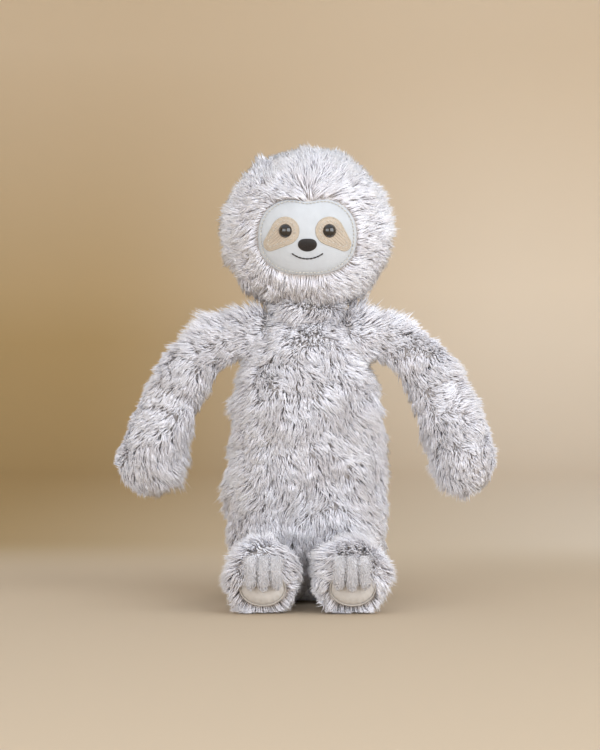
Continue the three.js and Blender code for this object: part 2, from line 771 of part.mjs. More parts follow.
function addNode(name, slot, solid) {
  const made = solid.getMesh();
  const geometry = new THREE.BufferGeometry();
  const position = new Float32Array(made.vertProperties);
  geometry.setAttribute("position", new THREE.BufferAttribute(position, 3));
  geometry.setIndex(new THREE.BufferAttribute(new Uint32Array(made.triVerts), 1));
  geometry.computeVertexNormals();
  const mesh = new THREE.Mesh(geometry, materials[slot]);
  mesh.name = name;
  group.add(mesh);
}

const panelOutline = offsetOutline(faceOutline(), -gap);
const eyeHoles = union(Object.values(sides).map(eyeHole));
const panel = faceLayer(panelOutline, panelDepth, panelDepth + panelThickness);

addNode("torso_cover", "fur", torsoCover());
addNode("torso_filling", "filling", torsoFilling());
addNode("seat_pellet_bag", "pellets", pelletBag(0));
addNode("back_closing_seam", "thread", closingSeam());
const neckAngles = [Math.PI / 2 - neckSeamHalfAngle, Math.PI / 2 + neckSeamHalfAngle];
addNode("neck_seam", "fur", seamRing(neck, up, neckBallRadius, ...neckAngles));
addNode("head_cover", "fur", headCover());
addNode("head_filling", "filling", headFilling());
addNode("face_panel", "face_fabric", panel.subtract(eyeHoles));
addNode("face_edge_stitch", "thread", raised(band(panelOutline, stitchWidth), stitchHeight));
addNode("nose", "thread", raised(disc(0, faceZ + noseZ, noseHalfWidth, noseHalfHeight), noseHeight));
addNode("mouth", "thread", raised(mouthOutline(), stitchHeight));

for (const [name, side] of Object.entries(sides)) {
  const patch = eyePatchOutline(side);
  const patchEdge = band(offsetOutline(patch, gap + stitchWidth), stitchWidth);
  addNode(`eye_patch_${name}`, "patch_fabric", raised(patch, appliqueThickness).subtract(eyeHoles));
  addNode(`eye_patch_edge_${name}`, "thread", raised(patchEdge, stitchHeight));
  addNode(`eye_${name}`, "eye_plastic", eye(side));
  addNode(`eye_washer_${name}`, "washer_plastic", eyeWasher(side, 0).subtract(eyeHole(side)));

  const arm = armShape(side);
  addNode(`shoulder_seam_${name}`, "fur", limbSeam(arm));
  addNode(`arm_cover_${name}`, "fur", limbCover(arm));
  addNode(`arm_filling_${name}`, "filling", limb(arm, fillingInset));

  const pad = offsetOutline(padOutline(side), -gap);
  const padBack = panelDepth + panelThickness;
  const edgeBack = panelDepth - gap;
  const clawRoom = union(claws(side, gap));
  addNode(`hip_seam_${name}`, "fur", limbSeam(legShape(side)));
  addNode(`leg_cover_${name}`, "fur", legCover(side));
  addNode(`leg_filling_${name}`, "filling", legFilling(side));
  addNode(`sole_pad_${name}`, "pad_fabric", soleLayer(side, pad, panelDepth, padBack).subtract(clawRoom));
  const padEdge = soleLayer(side, band(pad, stitchWidth), edgeBack - stitchHeight, edgeBack);
  addNode(`sole_pad_edge_${name}`, "thread", padEdge.subtract(clawRoom));
  claws(side, 0).forEach((solid, i) => {
    addNode(`foot_claw_${name}_${i + 1}`, "claw_felt", solid);
  });
}

export default group;
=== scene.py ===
"""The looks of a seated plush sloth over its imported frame, in metres, facing -Y on the floor z = 0.

The sloth's own left side is at +X. The sizes in capitals repeat the part's own, so each piece lies where its
solid does. "Inset" is a depth below the middle of the pile, which is the face of the part's solids.
"""

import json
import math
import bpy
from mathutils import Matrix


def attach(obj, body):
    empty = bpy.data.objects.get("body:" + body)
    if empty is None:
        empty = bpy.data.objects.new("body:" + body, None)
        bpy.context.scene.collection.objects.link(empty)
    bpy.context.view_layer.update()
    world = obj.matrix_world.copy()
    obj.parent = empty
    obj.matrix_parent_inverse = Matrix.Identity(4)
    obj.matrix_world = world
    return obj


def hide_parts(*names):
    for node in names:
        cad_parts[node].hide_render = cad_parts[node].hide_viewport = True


bl_info = {
    "name": "Plush sloth",
    "version": (1, 0, 0),
    "blender": (4, 5, 0),
    "location": "3D View > Sidebar > Plush sloth",
    "description": "Makes the fur, face, feet and studio of a seated plush sloth",
    "category": "Object",
}

from functools import partial, wraps

import bpy
import numpy as np
from mathutils import Vector

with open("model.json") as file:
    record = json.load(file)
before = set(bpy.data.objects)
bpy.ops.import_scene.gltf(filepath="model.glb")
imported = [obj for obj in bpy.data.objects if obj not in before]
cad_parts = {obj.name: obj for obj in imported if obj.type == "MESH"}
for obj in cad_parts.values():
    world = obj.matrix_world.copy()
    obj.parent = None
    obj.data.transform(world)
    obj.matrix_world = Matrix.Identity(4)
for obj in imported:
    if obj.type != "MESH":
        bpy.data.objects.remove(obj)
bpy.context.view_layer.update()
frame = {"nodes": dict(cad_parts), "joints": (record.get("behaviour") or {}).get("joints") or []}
PIVOTS = {joint["name"]: np.array(joint["pos_m"]) for joint in frame["joints"]}
SIDES = {"left": 1, "right": -1}
MM = 0.001

# Torso, an egg with its widest ring at BELLY_HEIGHT
TORSO_HALF_WIDTH = 77 * MM
TORSO_HALF_DEPTH = 60 * MM
BELLY_HEIGHT = 90 * MM
TORSO_RISE = 192 * MM
TORSO_DROP = 103 * MM
TORSO_TOP_POWER = 2.6
TORSO_SEAT_POWER = 2.5
SEAT_LEVEL = 2.5 * MM

# Head
HEAD_HALF = np.array([80, 72, 77]) * MM
HEAD_CENTRE = PIVOTS["head_turn"] + np.array([0, -4, 77]) * MM

# Limbs
PINCH_ANGLE = math.radians(56)
ARM_RADII = {"ball": 20 * MM, "middle": 27 * MM, "end": 30 * MM, "cap": 26 * MM}
ARM_ELBOW = np.array([68, 0, -3]) * MM
ARM_HAND = np.array([101, -12, -126]) * MM
LEG_RADII = {"ball": 24 * MM, "middle": 27 * MM, "end": 34 * MM, "cap": 26 * MM}
LEG_REACH = np.array([4, -76, 8]) * MM
ROOT_SHARE = 0.13
CAP_SHARE = 0.8
CAP_POWER = 0.75
ROOT_INSET_SHARE = 0.3

# Face, in X and Z from the face centre
FACE_Z = HEAD_CENTRE[2] - 9 * MM
MASK_HALF = np.array([47, 37]) * MM
MASK_POWER = 2.4
MASK_DIP = 5 * MM
MASK_DIP_WIDTH = 15 * MM
MASK_INSET = 4.6 * MM
MASK_THICKNESS = 3.8 * MM
EYE_X = 21 * MM
EYE_Z = 4 * MM
PATCH_RADII = (12 * MM, 5.5 * MM)
PATCH_LENGTH = 18 * MM
PATCH_SLOPE = math.radians(40)
EYE_RADIUS = 6.5 * MM
EYE_HEIGHT = 4.6 * MM
NOSE_HALF = (9 * MM, 6 * MM)
NOSE_Z = -9 * MM
MOUTH_RADIUS = 24 * MM
MOUTH_Z = 2 * MM
MOUTH_HALF_ANGLE = math.radians(38)

# Soles and claws
PAD_HALF = (20 * MM, 15 * MM)
PAD_Z = 23 * MM
CLAW_SPREAD = 11 * MM
CLAW_ROOT_Z = 53 * MM
CLAW_DROP = 28 * MM
CLAW_HALF = (5.0 * MM, 3.2 * MM)

# Back closing seam
CLOSING_LOW = 70 * MM
CLOSING_HIGH = 150 * MM
CLOSING_DEPTH = 3.5 * MM

# Gathered rings: radius, thickness, how upright their fur stands, and what they add to the seed
RINGS = {
    "neck": (21 * MM, 8 * MM, 0.95, 20),
    "shoulder": (11 * MM, 6.5 * MM, 0.6, 21),
    "hip": (13 * MM, 7 * MM, 0.5, 23),
}
RING_FOLDS = 26
RING_FOLD_DEPTH = 0.2

# Fur. The spreads are how far the tufts, the locks, the wisps and the single strands differ.
SWIRL_SPREAD = (0.35, 0.35, 0.25, 0.25)
LIFT_SPREAD = (8, 7, 4, 6)
LAY_SPREAD = (9, 9, 6, 5)
LENGTH_SPREAD = (0.15, 0.1, 0.05, 0.1)
CURL_SPREAD = (0.12, 0.12, 0.08, 0)
TONE_SPREAD = (0.14, 0.15, 0.06, 0.08)
# The share of its length that a strand loses at the edge of its tuft, its lock and its wisp
EDGE_LOSS = (0.1, 0.1, 0.06)
# How far the wisps, the locks and the tufts draw together, as shares of the gather
GATHER_SHARES = (0.75, 0.8, 0.55)
STRAY_SHARE = 0.055
# How far roots are shaken before they are shared into locks, as a share of a lock's width
LOCK_BLUR = 0.09
FUR_MAP = "OFBake"  # the name of the strands' map

# Studio
LAMP_SIZE = 2.2
LAMP_COLOUR = (0.85, 0.925, 1)
LAMP_AIM = Vector((0, 0, 0.22))
SKY_COLOUR = (0.84, 0.915, 1, 1)


# Numbers


def paint(red, green, blue):
    """A colour written in bytes, 0 to 255, as linear light: the sRGB curve, which is straight near black."""
    share = np.array([red, green, blue]) / 255
    linear = np.where(share <= 0.04045, share / 12.92, ((share + 0.055) / 1.055) ** 2.4)
    return tuple(float(x) for x in linear)


def unit(vectors):
    """Vectors of length one, along the last axis."""
    return vectors / np.maximum(np.linalg.norm(vectors, axis=-1, keepdims=True), 1e-12)


def smooth(x, low, high):
    """0 below low, 1 above high, and an even S between."""
    share = np.clip((x - low) / (high - low), 0, 1)
    return share * share * (3 - 2 * share)


def along_skin(vectors, normals):
    """What is left of vectors in the plane that normals stand on, with length one."""
    return unit(vectors - normals * np.sum(vectors * normals, axis=-1, keepdims=True))


def full_turn(count):
    """Angles an even way apart round a full turn."""
    return np.linspace(0, 2 * np.pi, count, endpoint=False)


def distances_along(points):
    """How far along a path each of its points lies."""
    return np.concatenate([[0], np.cumsum(np.linalg.norm(np.diff(points, axis=0), axis=1))])


def at_distances(wanted, distances, values):
    """Rows of values at wanted distances along a path."""
    return np.stack([np.interp(wanted, distances, column) for column in values.T], axis=-1)


def ways_out(turn, side, other):
    """The ways at turns from one direction towards another."""
    return side * np.cos(turn)[..., None] + other * np.sin(turn)[..., None]


def curve(share, start, bend, end):
    """A quadratic curve's points and the ways that it runs: from start towards bend, and from bend to end."""
    points = (1 - share) ** 2 * start + 2 * share * (1 - share) * bend + share**2 * end
    return points, unit(2 * (1 - share) * (bend - start) + 2 * share * (end - bend))


# Forms: each takes a turn about its line, a share from its first pole to its last, and an inset,
# and returns points with the middles of the rings that they lie on


def torso_form(turn, share, inset):
    """Rings whose radii shrink with an angle's cosine, and whose height grows with a power of its sine."""
    angle = (share - 0.5) * np.pi
    high = np.abs(np.sin(angle))
    above = (TORSO_RISE - inset) * high ** (2 / TORSO_TOP_POWER)
    below = (TORSO_DROP - inset) * high ** (2 / TORSO_SEAT_POWER)
    z = np.maximum(BELLY_HEIGHT + np.where(angle > 0, above, -below), SEAT_LEVEL)
    girth = np.cos(angle)
    x = (TORSO_HALF_WIDTH - inset) * girth * np.cos(turn)
    y = (TORSO_HALF_DEPTH - inset) * girth * np.sin(turn)
    middle = np.stack([0 * x, 0 * x, z + 0 * x], axis=-1)
    return np.stack([x, y, z + 0 * x], axis=-1), middle


def head_form(turn, share, inset):
    """An ellipsoid, by its angle round and its angle up."""
    angle = (share - 0.5) * np.pi
    half = HEAD_HALF - inset
    round_way = np.cos(angle)
    x = half[0] * round_way * np.cos(turn)
    y = half[1] * round_way * np.sin(turn)
    z = half[2] * np.sin(angle) + 0 * x
    middle = HEAD_CENTRE + np.stack([0 * x, 0 * x, z], axis=-1)
    return HEAD_CENTRE + np.stack([x, y, z], axis=-1), middle


class Limb:
    """A limb along a quadratic curve: a ball, a pinch, a swelling tube and a round end."""

    def __init__(self, start, bend, end, flank, radii):
        self.line, self.ways = curve(np.linspace(0, 1, 200)[:, None], start, bend, end)
        self.distances = distances_along(self.line)
        self.length = self.distances[-1]
        self.flank = flank
        self.radii = radii

    def at(self, distance):
        """The line's point and way at a distance, carried on straight past both ends."""
        held = np.clip(distance, 0, self.length)
        point = at_distances(held, self.distances, self.line)
        way = unit(at_distances(held, self.distances, self.ways))
        return point + way * (distance - held)[..., None], way

    def section(self, share, inset):
        """Distance along the line and radius, by the share from the root's pole to the end's.
        The inset is smaller at the root, where the pile stands thick over the joint."""
        ball = self.radii["ball"] - inset * ROOT_INSET_SHARE
        end, cap = self.radii["end"] - inset, self.radii["cap"] - inset
        pinch = self.radii["ball"] * math.sin(PINCH_ANGLE)
        start = self.radii["ball"] * math.cos(PINCH_ANGLE)
        root_angle = np.pi - (np.pi - PINCH_ANGLE) * np.clip(share / ROOT_SHARE, 0, 1)
        tube = np.clip((share - ROOT_SHARE) / (CAP_SHARE - ROOT_SHARE), 0, 1)
        cap_angle = np.pi / 2 * np.clip((share - CAP_SHARE) / (1 - CAP_SHARE), 0, 1)
        waist = (self.radii["middle"] - pinch) * smooth(tube, 0, 0.55)
        swell = (self.radii["end"] - self.radii["middle"]) * smooth(tube, 0.4, 1)
        tube_inset = inset * (ROOT_INSET_SHARE + (1 - ROOT_INSET_SHARE) * smooth(tube, 0, 0.5))
        in_root, in_tube = share < ROOT_SHARE, share < CAP_SHARE
        past_end = self.length + cap * np.sin(cap_angle)
        distance = np.where(in_tube, start + (self.length - start) * tube, past_end)
        distance = np.where(in_root, ball * np.cos(root_angle), distance)
        radius = np.where(in_tube, pinch + waist + swell - tube_inset, end * np.cos(cap_angle) ** CAP_POWER)
        return distance, np.where(in_root, ball * np.sin(root_angle), radius)

    def axes(self, way):
        """Two directions across the line."""
        side = along_skin(np.broadcast_to(self.flank, way.shape), way)
        return side, np.cross(way, side)

    def form(self, turn, share, inset):
        """Rings across the line, as wide as the limb is there."""
        distance, radius = self.section(share, inset)
        turn, distance, radius = np.broadcast_arrays(turn, distance, radius)
        middle, way = self.at(distance)
        return middle + ways_out(turn, *self.axes(way)) * radius[..., None], middle


def arm(side):
    """An arm, bent outward and down from its shoulder's pivot."""
    start = PIVOTS[f"{side}_arm_swing"]
    mirror = np.array([SIDES[side], 1, 1])
    return Limb(start, start + ARM_ELBOW * mirror, start + ARM_HAND * mirror, np.array([0, -1, 0]), ARM_RADII)


def leg(side):
    """A leg, straight from its hip's pivot to the foot."""
    start = PIVOTS[f"{side}_leg_splay"]
    end = start + LEG_REACH * np.array([SIDES[side], 1, 1])
    return Limb(start, (start + end) / 2, end, np.array([0, 0, 1]), LEG_RADII)


class Ring:
    """A soft ring of gathered cloth about an axis: a round section carried round a circle."""

    def __init__(self, centre, axis, radius, thickness):
        self.centre, self.axis = centre, unit(axis)
        self.side = along_skin(np.array([0.3, 1.0, 0.2]), self.axis)
        self.other = np.cross(self.axis, self.side)
        self.radius, self.thickness = radius, thickness

    def out(self, turn):
        """The ways out from the ring's middle at turns about its axis."""
        return ways_out(turn, self.side, self.other)

    def form(self, turn, share, inset):
        """Circles through the section: a turn goes round the ring and a share round its thickness."""
        turn, share = np.broadcast_arrays(turn, share)
        out = self.out(turn)
        middle = self.centre + out * self.radius
        angle = 2 * np.pi * share[..., None]
        thickness = self.thickness - inset
        return middle + thickness * (out * np.cos(angle) + self.axis * np.sin(angle)), middle


def foot_front(foot, across, upward, inset):
    """A point of the foot's round front by its place across the leg's line, and the way it faces."""
    last, way = foot.at(np.array([foot.length]))
    up, _ = foot.axes(way)
    sideways = np.cross(up[0], way[0])
    sideways = sideways * np.sign(sideways[0])
    radius = np.hypot(across, upward)
    end, cap = foot.radii["end"] - inset, foot.radii["cap"] - inset
    nearly_rim = 0.999
    narrowing = np.clip(radius / end, 0, nearly_rim) ** (1 / CAP_POWER)
    depth = cap * np.sqrt(1 - narrowing**2)
    slope = (cap / end) * narrowing / np.sqrt(1 - narrowing**2)
    outward = sideways * across[..., None] + up[0] * upward[..., None]
    facing = unit(way[0] + unit(outward) * slope[..., None])
    return last[0] + way[0] * depth[..., None] + outward, facing


def claw_form(foot, place):
    """The form of a claw, a flat finger along a curve that leaves the foot's top and hangs down its front."""
    root_share, tip_share, tip_power, taper = 0.1, 0.2, 2.6, 0.1
    x = foot.line[-1][0] + place * CLAW_SPREAD
    front = foot.line[-1][1] - foot.radii["cap"]
    root = np.array([x, front + 6 * MM, CLAW_ROOT_Z])
    bend = np.array([x, front - 6 * MM, CLAW_ROOT_Z - 5 * MM])
    tip = np.array([x + place * MM, front - 1.2 * MM, CLAW_ROOT_Z - CLAW_DROP + abs(place) * 1.5 * MM])

    def form(turn, share, inset):
        turn, share = np.broadcast_arrays(turn, share)
        along = share[..., None]
        middle, way = curve(along, root, bend, tip)
        across = np.array([1.0, 0, 0])
        upright = np.cross(way, across)
        near_tip = np.clip((along - (1 - tip_share)) / tip_share, 0, 1)
        near_root = np.clip((root_share - along) / root_share, 0, 1)
        size = (1 - near_tip**tip_power) ** (1 / tip_power) * np.sqrt(1 - near_root**2) * (1 - taper * along)
        wide = (CLAW_HALF[0] - inset) * np.cos(turn)[..., None]
        high = (CLAW_HALF[1] - inset) * np.sin(turn)[..., None]
        return middle + size * (wide * across + high * upright), middle

    return form


def head_front(x, z, inset):
    """A point of the head's front by its X and Z, and the way it faces."""
    half = HEAD_HALF - inset if np.ndim(inset) == 0 else HEAD_HALF - inset[..., None]
    high = z - HEAD_CENTRE[2]
    y = -half[..., 1] * np.sqrt(np.maximum(1 - (x / half[..., 0]) ** 2 - (high / half[..., 2]) ** 2, 0))
    x, y, high = np.broadcast_arrays(x, y, high)
    facing = unit(np.stack([x, y, high], axis=-1) / HEAD_HALF**2)
    return np.stack([x, HEAD_CENTRE[1] + y, HEAD_CENTRE[2] + high], axis=-1), facing


# Meshes


def new_piece(name, points, quads, triangles, corner_map=None):
    """A smooth mesh object at the origin, from whole arrays of points, quads and triangles."""
    mesh = bpy.data.meshes.new(name)
    quads = np.asarray(quads, dtype=np.int32).reshape(-1, 4)
    triangles = np.asarray(triangles, dtype=np.int32).reshape(-1, 3)
    corners = np.concatenate([quads.ravel(), triangles.ravel()])
    sizes = np.concatenate([np.full(len(quads), 4), np.full(len(triangles), 3)])
    starts = np.concatenate([[0], np.cumsum(sizes)[:-1]]).astype(np.int32)
    mesh.vertices.add(len(points))
    mesh.vertices.foreach_set("co", np.asarray(points, dtype=np.float32).ravel())
    mesh.loops.add(len(corners))
    mesh.loops.foreach_set("vertex_index", corners)
    mesh.polygons.add(len(sizes))
    mesh.polygons.foreach_set("loop_start", starts)
    mesh.polygons.foreach_set("use_smooth", np.ones(len(sizes), dtype=bool))
    if corner_map is not None:
        layer = mesh.uv_layers.new(name=FUR_MAP)
        layer.uv.foreach_set("vector", np.asarray(corner_map, dtype=np.float32).ravel())
    mesh.update(calc_edges=True)
    piece = bpy.data.objects.new(name, mesh)
    bpy.context.scene.collection.objects.link(piece)
    return piece


def quads_between(starts, following, around):
    """The quads between rings of points, by the first point of each ring and of the one that follows it."""
    starts, following = starts[:, None], following[:, None]
    side = np.arange(around)
    after = (side + 1) % around
    quads = np.stack([starts + side, starts + after, following + after, following + side], axis=-1)
    return quads.reshape(-1, 4)


def closed_rings(rings, first, last):
    """Points, quads and triangles of a closed skin through rings, with a point before them and one after.
    The rings run counter-clockwise about the way that they follow each other."""
    count, around = rings.shape[:2]
    points = np.concatenate([rings.reshape(-1, 3), [first, last]])
    starts = np.arange(count) * around
    side = np.arange(around)
    after = (side + 1) % around
    pole = np.full(around, count * around)
    first_cap = np.stack([pole, after, side], axis=-1)
    last_cap = np.stack([pole + 1, starts[-1] + side, starts[-1] + after], axis=-1)
    return points, quads_between(starts[:-1], starts[1:], around), np.concatenate([first_cap, last_cap])


def joined(parts):
    """One set of points and faces out of several."""
    points, quads, triangles, before = [], [], [], 0
    for part_points, part_quads, part_triangles in parts:
        points.append(part_points)
        quads.append(part_quads + before)
        triangles.append(part_triangles + before)
        before += len(part_points)
    return np.concatenate(points), np.concatenate(quads), np.concatenate(triangles)


def shell(form, inset, around, along, relief=None):
    """A closed skin over a form, with a relief added along its rings' radii."""
    turn = full_turn(around)[None, :]
    share = np.linspace(0, 1, along + 2)[:, None]
    points, middles = form(turn, share, inset)
    if relief is not None:
        points = points + unit(points - middles) * relief(points)[..., None]
    return closed_rings(points[1:-1], points[0].mean(axis=0), points[-1].mean(axis=0))


def stuffing_relief(points, height=1.4 * MM, spacing=33 * MM):
    """Soft lumps of stuffing: three crossed waves, added up."""
    x, y, z = np.moveaxis(points / spacing * 2 * np.pi, -1, 0)
    waves = np.sin(0.8 * x + 1.3) * np.sin(z + 0.4 * y)
    waves = waves + 0.6 * np.sin(1.4 * y + 0.7 * z + 0.5) * np.cos(1.1 * x - 0.6 * z)
    return height * waves / 1.6


def sections(path, across, upright, half_widths, half_heights, around, base=1.0):
    """Ellipses round a path's points, whose half axes lie across and upright, and whose lower halves are
    scaled by the base."""
    turn = full_turn(around)
    high = np.sin(turn)
    high = np.where(high < 0, high * base, high)
    wide = across[:, None] * (half_widths[:, None] * np.cos(turn))[..., None]
    return path[:, None] + wide + upright[:, None] * (half_heights[:, None] * high)[..., None]


def swept(path, across, upright, sizes, around):
    """A closed thread along a path, whose radius at each point is its size."""
    rings = sections(path, across, upright, sizes, sizes, around)
    return closed_rings(rings[1:-1], path[0], path[-1])


def swept_loop(path, across, upright, half_width, half_height, around, ribs=0, rib_depth=0.0, base=0.3):
    """A closed loop of ribbon round a path, with ribs across it: its section swells with a cosine."""
    count = len(path)
    ripple = 1 - rib_depth * (0.5 + 0.5 * np.cos(2 * np.pi * ribs * np.arange(count) / count))
    rings = sections(path, across, upright, half_width * ripple, half_height * ripple, around, base)
    starts = np.arange(count) * around
    quads = quads_between(starts, np.roll(starts, -1), around)
    return rings.reshape(-1, 3), quads, np.zeros((0, 3), dtype=int)


def even_loop(points, count):
    """A closed outline's points, spread evenly along it."""
    closed = np.concatenate([points, points[:1]])
    distances = distances_along(closed)
    return at_distances(np.linspace(0, distances[-1], count, endpoint=False), distances, closed)


def turned(profile, place, axis, around):
    """A closed shape turned about an axis: a row of the profile is a radius and a height along the axis."""
    axis = unit(axis)
    side = along_skin(np.array([0.0, 0.0, 1.0]), axis)
    other = np.cross(axis, side)
    turn = full_turn(around)[None, :, None]
    out = side * np.cos(turn) + other * np.sin(turn)
    rings = place + profile[:, :1, None] * out + profile[:, 1:, None] * axis
    return closed_rings(rings[1:-1], rings[0].mean(axis=0), rings[-1].mean(axis=0))


def cloth_patch(front, outline, inset_of, thickness, puff, relief=None, steps=14):
    """A closed lens of cloth on a round front. Its rings shrink from the outline to the middle, its rim is
    a half circle as thick as the cloth, and its face rises by the puff. front gives points from flat places
    and insets, inset_of the inset of the rim's face, and relief what a place is pressed in by."""
    centre = outline.mean(axis=0)
    reach = np.linalg.norm(outline - centre, axis=1).mean()
    edge = thickness / 2 / reach
    flat = np.linspace(0, 1 - edge, steps + 1)[:-1]
    half_turn = np.linspace(0, np.pi, 7)
    share = np.concatenate([flat, 1 - edge + edge * np.sin(half_turn), flat[::-1]])
    depth = np.concatenate([0 * flat, thickness / 2 * (1 - np.cos(half_turn)), thickness + 0 * flat])
    share, depth = share[::-1, None], depth[::-1, None]
    facing = depth < thickness / 2
    places = centre + share[..., None] * (outline - centre)
    x, z = places[..., 0], places[..., 1]
    inset = inset_of(x, z) + depth - np.where(facing, puff * (1 - share**2), 0)
    if relief is not None:
        inset = inset + np.where(facing, relief(x, z, share), 0)
    rings, _ = front(x, z, inset)
    return closed_rings(rings[1:-1], rings[0].mean(axis=0), rings[-1].mean(axis=0))


def laid(front, places, inset_of):
    """Flat places laid on a round front, and the ways that it faces there."""
    x, z = places.T
    return front(x, z, inset_of(x, z))


def edging(front, outline, inset_of, half_width, height, ribs, around=8):
    """A satin-stitched edge: a half-round ribbon round an outline, with one rib for each thread."""
    rib_depth = 0.16
    points, facing = laid(front, outline, inset_of)
    way = unit(np.roll(points, -1, axis=0) - np.roll(points, 1, axis=0))
    across = unit(np.cross(facing, way))
    return swept_loop(points, across, facing, half_width, height, around, ribs, rib_depth)


def stitches(front, places, inset_of, count, fill, radius, closed=True, around=8):
    """A row of running stitches along flat places: each rises out of the cloth and dives into it again.
    The fill is the share of the row that the stitches take up."""
    if closed:
        places = np.concatenate([places, places[:1]])
    distances = distances_along(places)
    pitch = distances[-1] / count
    share = np.linspace(0, 1, 9)
    arch = np.sin(np.pi * share)
    size = radius * (0.35 + 0.65 * arch**0.35)
    parts = []
    for number in range(count):
        wanted = (number + 0.5 + (share - 0.5) * fill) * pitch
        points, facing = laid(front, at_distances(wanted, distances, places), inset_of)
        path = points + facing * (radius * (arch**0.5 - 0.55))[:, None]
        way = unit(np.gradient(path, axis=0))
        across = unit(np.cross(facing, way))
        parts.append(swept(path, across, np.cross(way, across), size, around))
    return joined(parts)


# Fur


def scatter_roots(form, inset, pitch, random, relief=stuffing_relief):
    """Roots spread over a form by area, with the normals there: cells are drawn by their area, then points
    in them."""
    around, along, pole_gap, step = 120, 160, 0.002, 1e-3
    turn = np.linspace(0, 2 * np.pi, around + 1)[:, None]
    share = np.linspace(0, 1, along + 1)[None, :]
    corners, _ = form(turn, share, inset)
    one = corners[1:, 1:] - corners[:-1, :-1]
    other = corners[:-1, 1:] - corners[1:, :-1]
    area = np.linalg.norm(np.cross(one, other), axis=-1).ravel() / 2
    count = int(area.sum() / pitch**2)
    cell = random.choice(area.size, size=count, p=area / area.sum())
    turn = (cell // along + random.random(count)) / around * 2 * np.pi
    share = (cell % along + random.random(count)) / along
    share = np.clip(share, pole_gap, 1 - pole_gap)
    points, middles = form(turn, share, inset)
    round_way = form(turn + step, share, inset)[0] - form(turn - step, share, inset)[0]
    up_way = form(turn, share + step, inset)[0] - form(turn, share - step, inset)[0]
    normals = unit(np.cross(round_way, up_way))
    flip = np.sum(normals * (points - middles), axis=-1) < 0
    normals = np.where(flip[:, None], -normals, normals)
    if relief is not None:
        points = points + unit(points - middles) * relief(points)[:, None]
    return points, normals


def nearest(points, centres):
    """The number of the centre that each point is nearest to, worked out in slices to save memory."""
    slice_length = 8192
    found = np.empty(len(points), dtype=int)
    lengths = np.sum(centres**2, axis=1)
    for start in range(0, len(points), slice_length):
        part = slice(start, start + slice_length)
        found[part] = np.argmin(lengths - 2 * points[part] @ centres.T, axis=1)
    return found


def mean_by(owner, count, values):
    """The mean of rows of values for each owner."""
    flat = values.reshape(len(values), -1)
    totals = np.stack([np.bincount(owner, flat[:, i], count) for i in range(flat.shape[1])], axis=-1)
    members = np.maximum(np.bincount(owner, minlength=count), 1)[:, None]
    return (totals / members).reshape((count,) + values.shape[1:])


def share_into_locks(roots, width, pitch, random):
    """Groups roots into locks about as wide as asked: centres drawn at random and moved twice to their
    middles. The roots are shaken a little first, so that locks mingle where they meet.
    Returns each root's lock, how many locks there are, and how far out in its lock a root is."""
    roots = roots + LOCK_BLUR * width * random.normal(size=roots.shape)
    count = max(int(len(roots) * pitch**2 / width**2), 1)
    centres = roots[random.choice(len(roots), count, replace=False)]
    for _ in range(2):
        centres = mean_by(nearest(roots, centres), count, roots)
    owner = nearest(roots, centres)
    return owner, count, np.linalg.norm(roots - centres[owner], axis=1) / (width / 2)


def drift(points, spacing, random):
    """A smooth random field of about one either way: eight waves in random directions, added up."""
    waves = 8
    ways = unit(random.normal(size=(waves, 3))) * (0.7 + 0.6 * random.random((waves, 1)))
    ways = ways * 2 * np.pi / spacing
    return np.sin(points @ ways.T + 2 * np.pi * random.random(waves)).sum(axis=1) / 2


def gathered(paths, owner, count, strength, shares):
    """Draws paths to the middle path of their lock, more so towards the tip."""
    middle = mean_by(owner, count, paths)[owner]
    return paths + (middle - paths) * (strength[:, None, None] * (shares**1.25)[:, None])


def spread(groups, weights, count, random):
    """A random part for each strand: the sum of what its tuft, its lock and its wisp share, and its own."""
    total = weights[-1] * random.normal(size=count)
    for (owner, members, _), weight in zip(groups, weights):
        total = total + weight * random.normal(size=members)[owner]
    return total


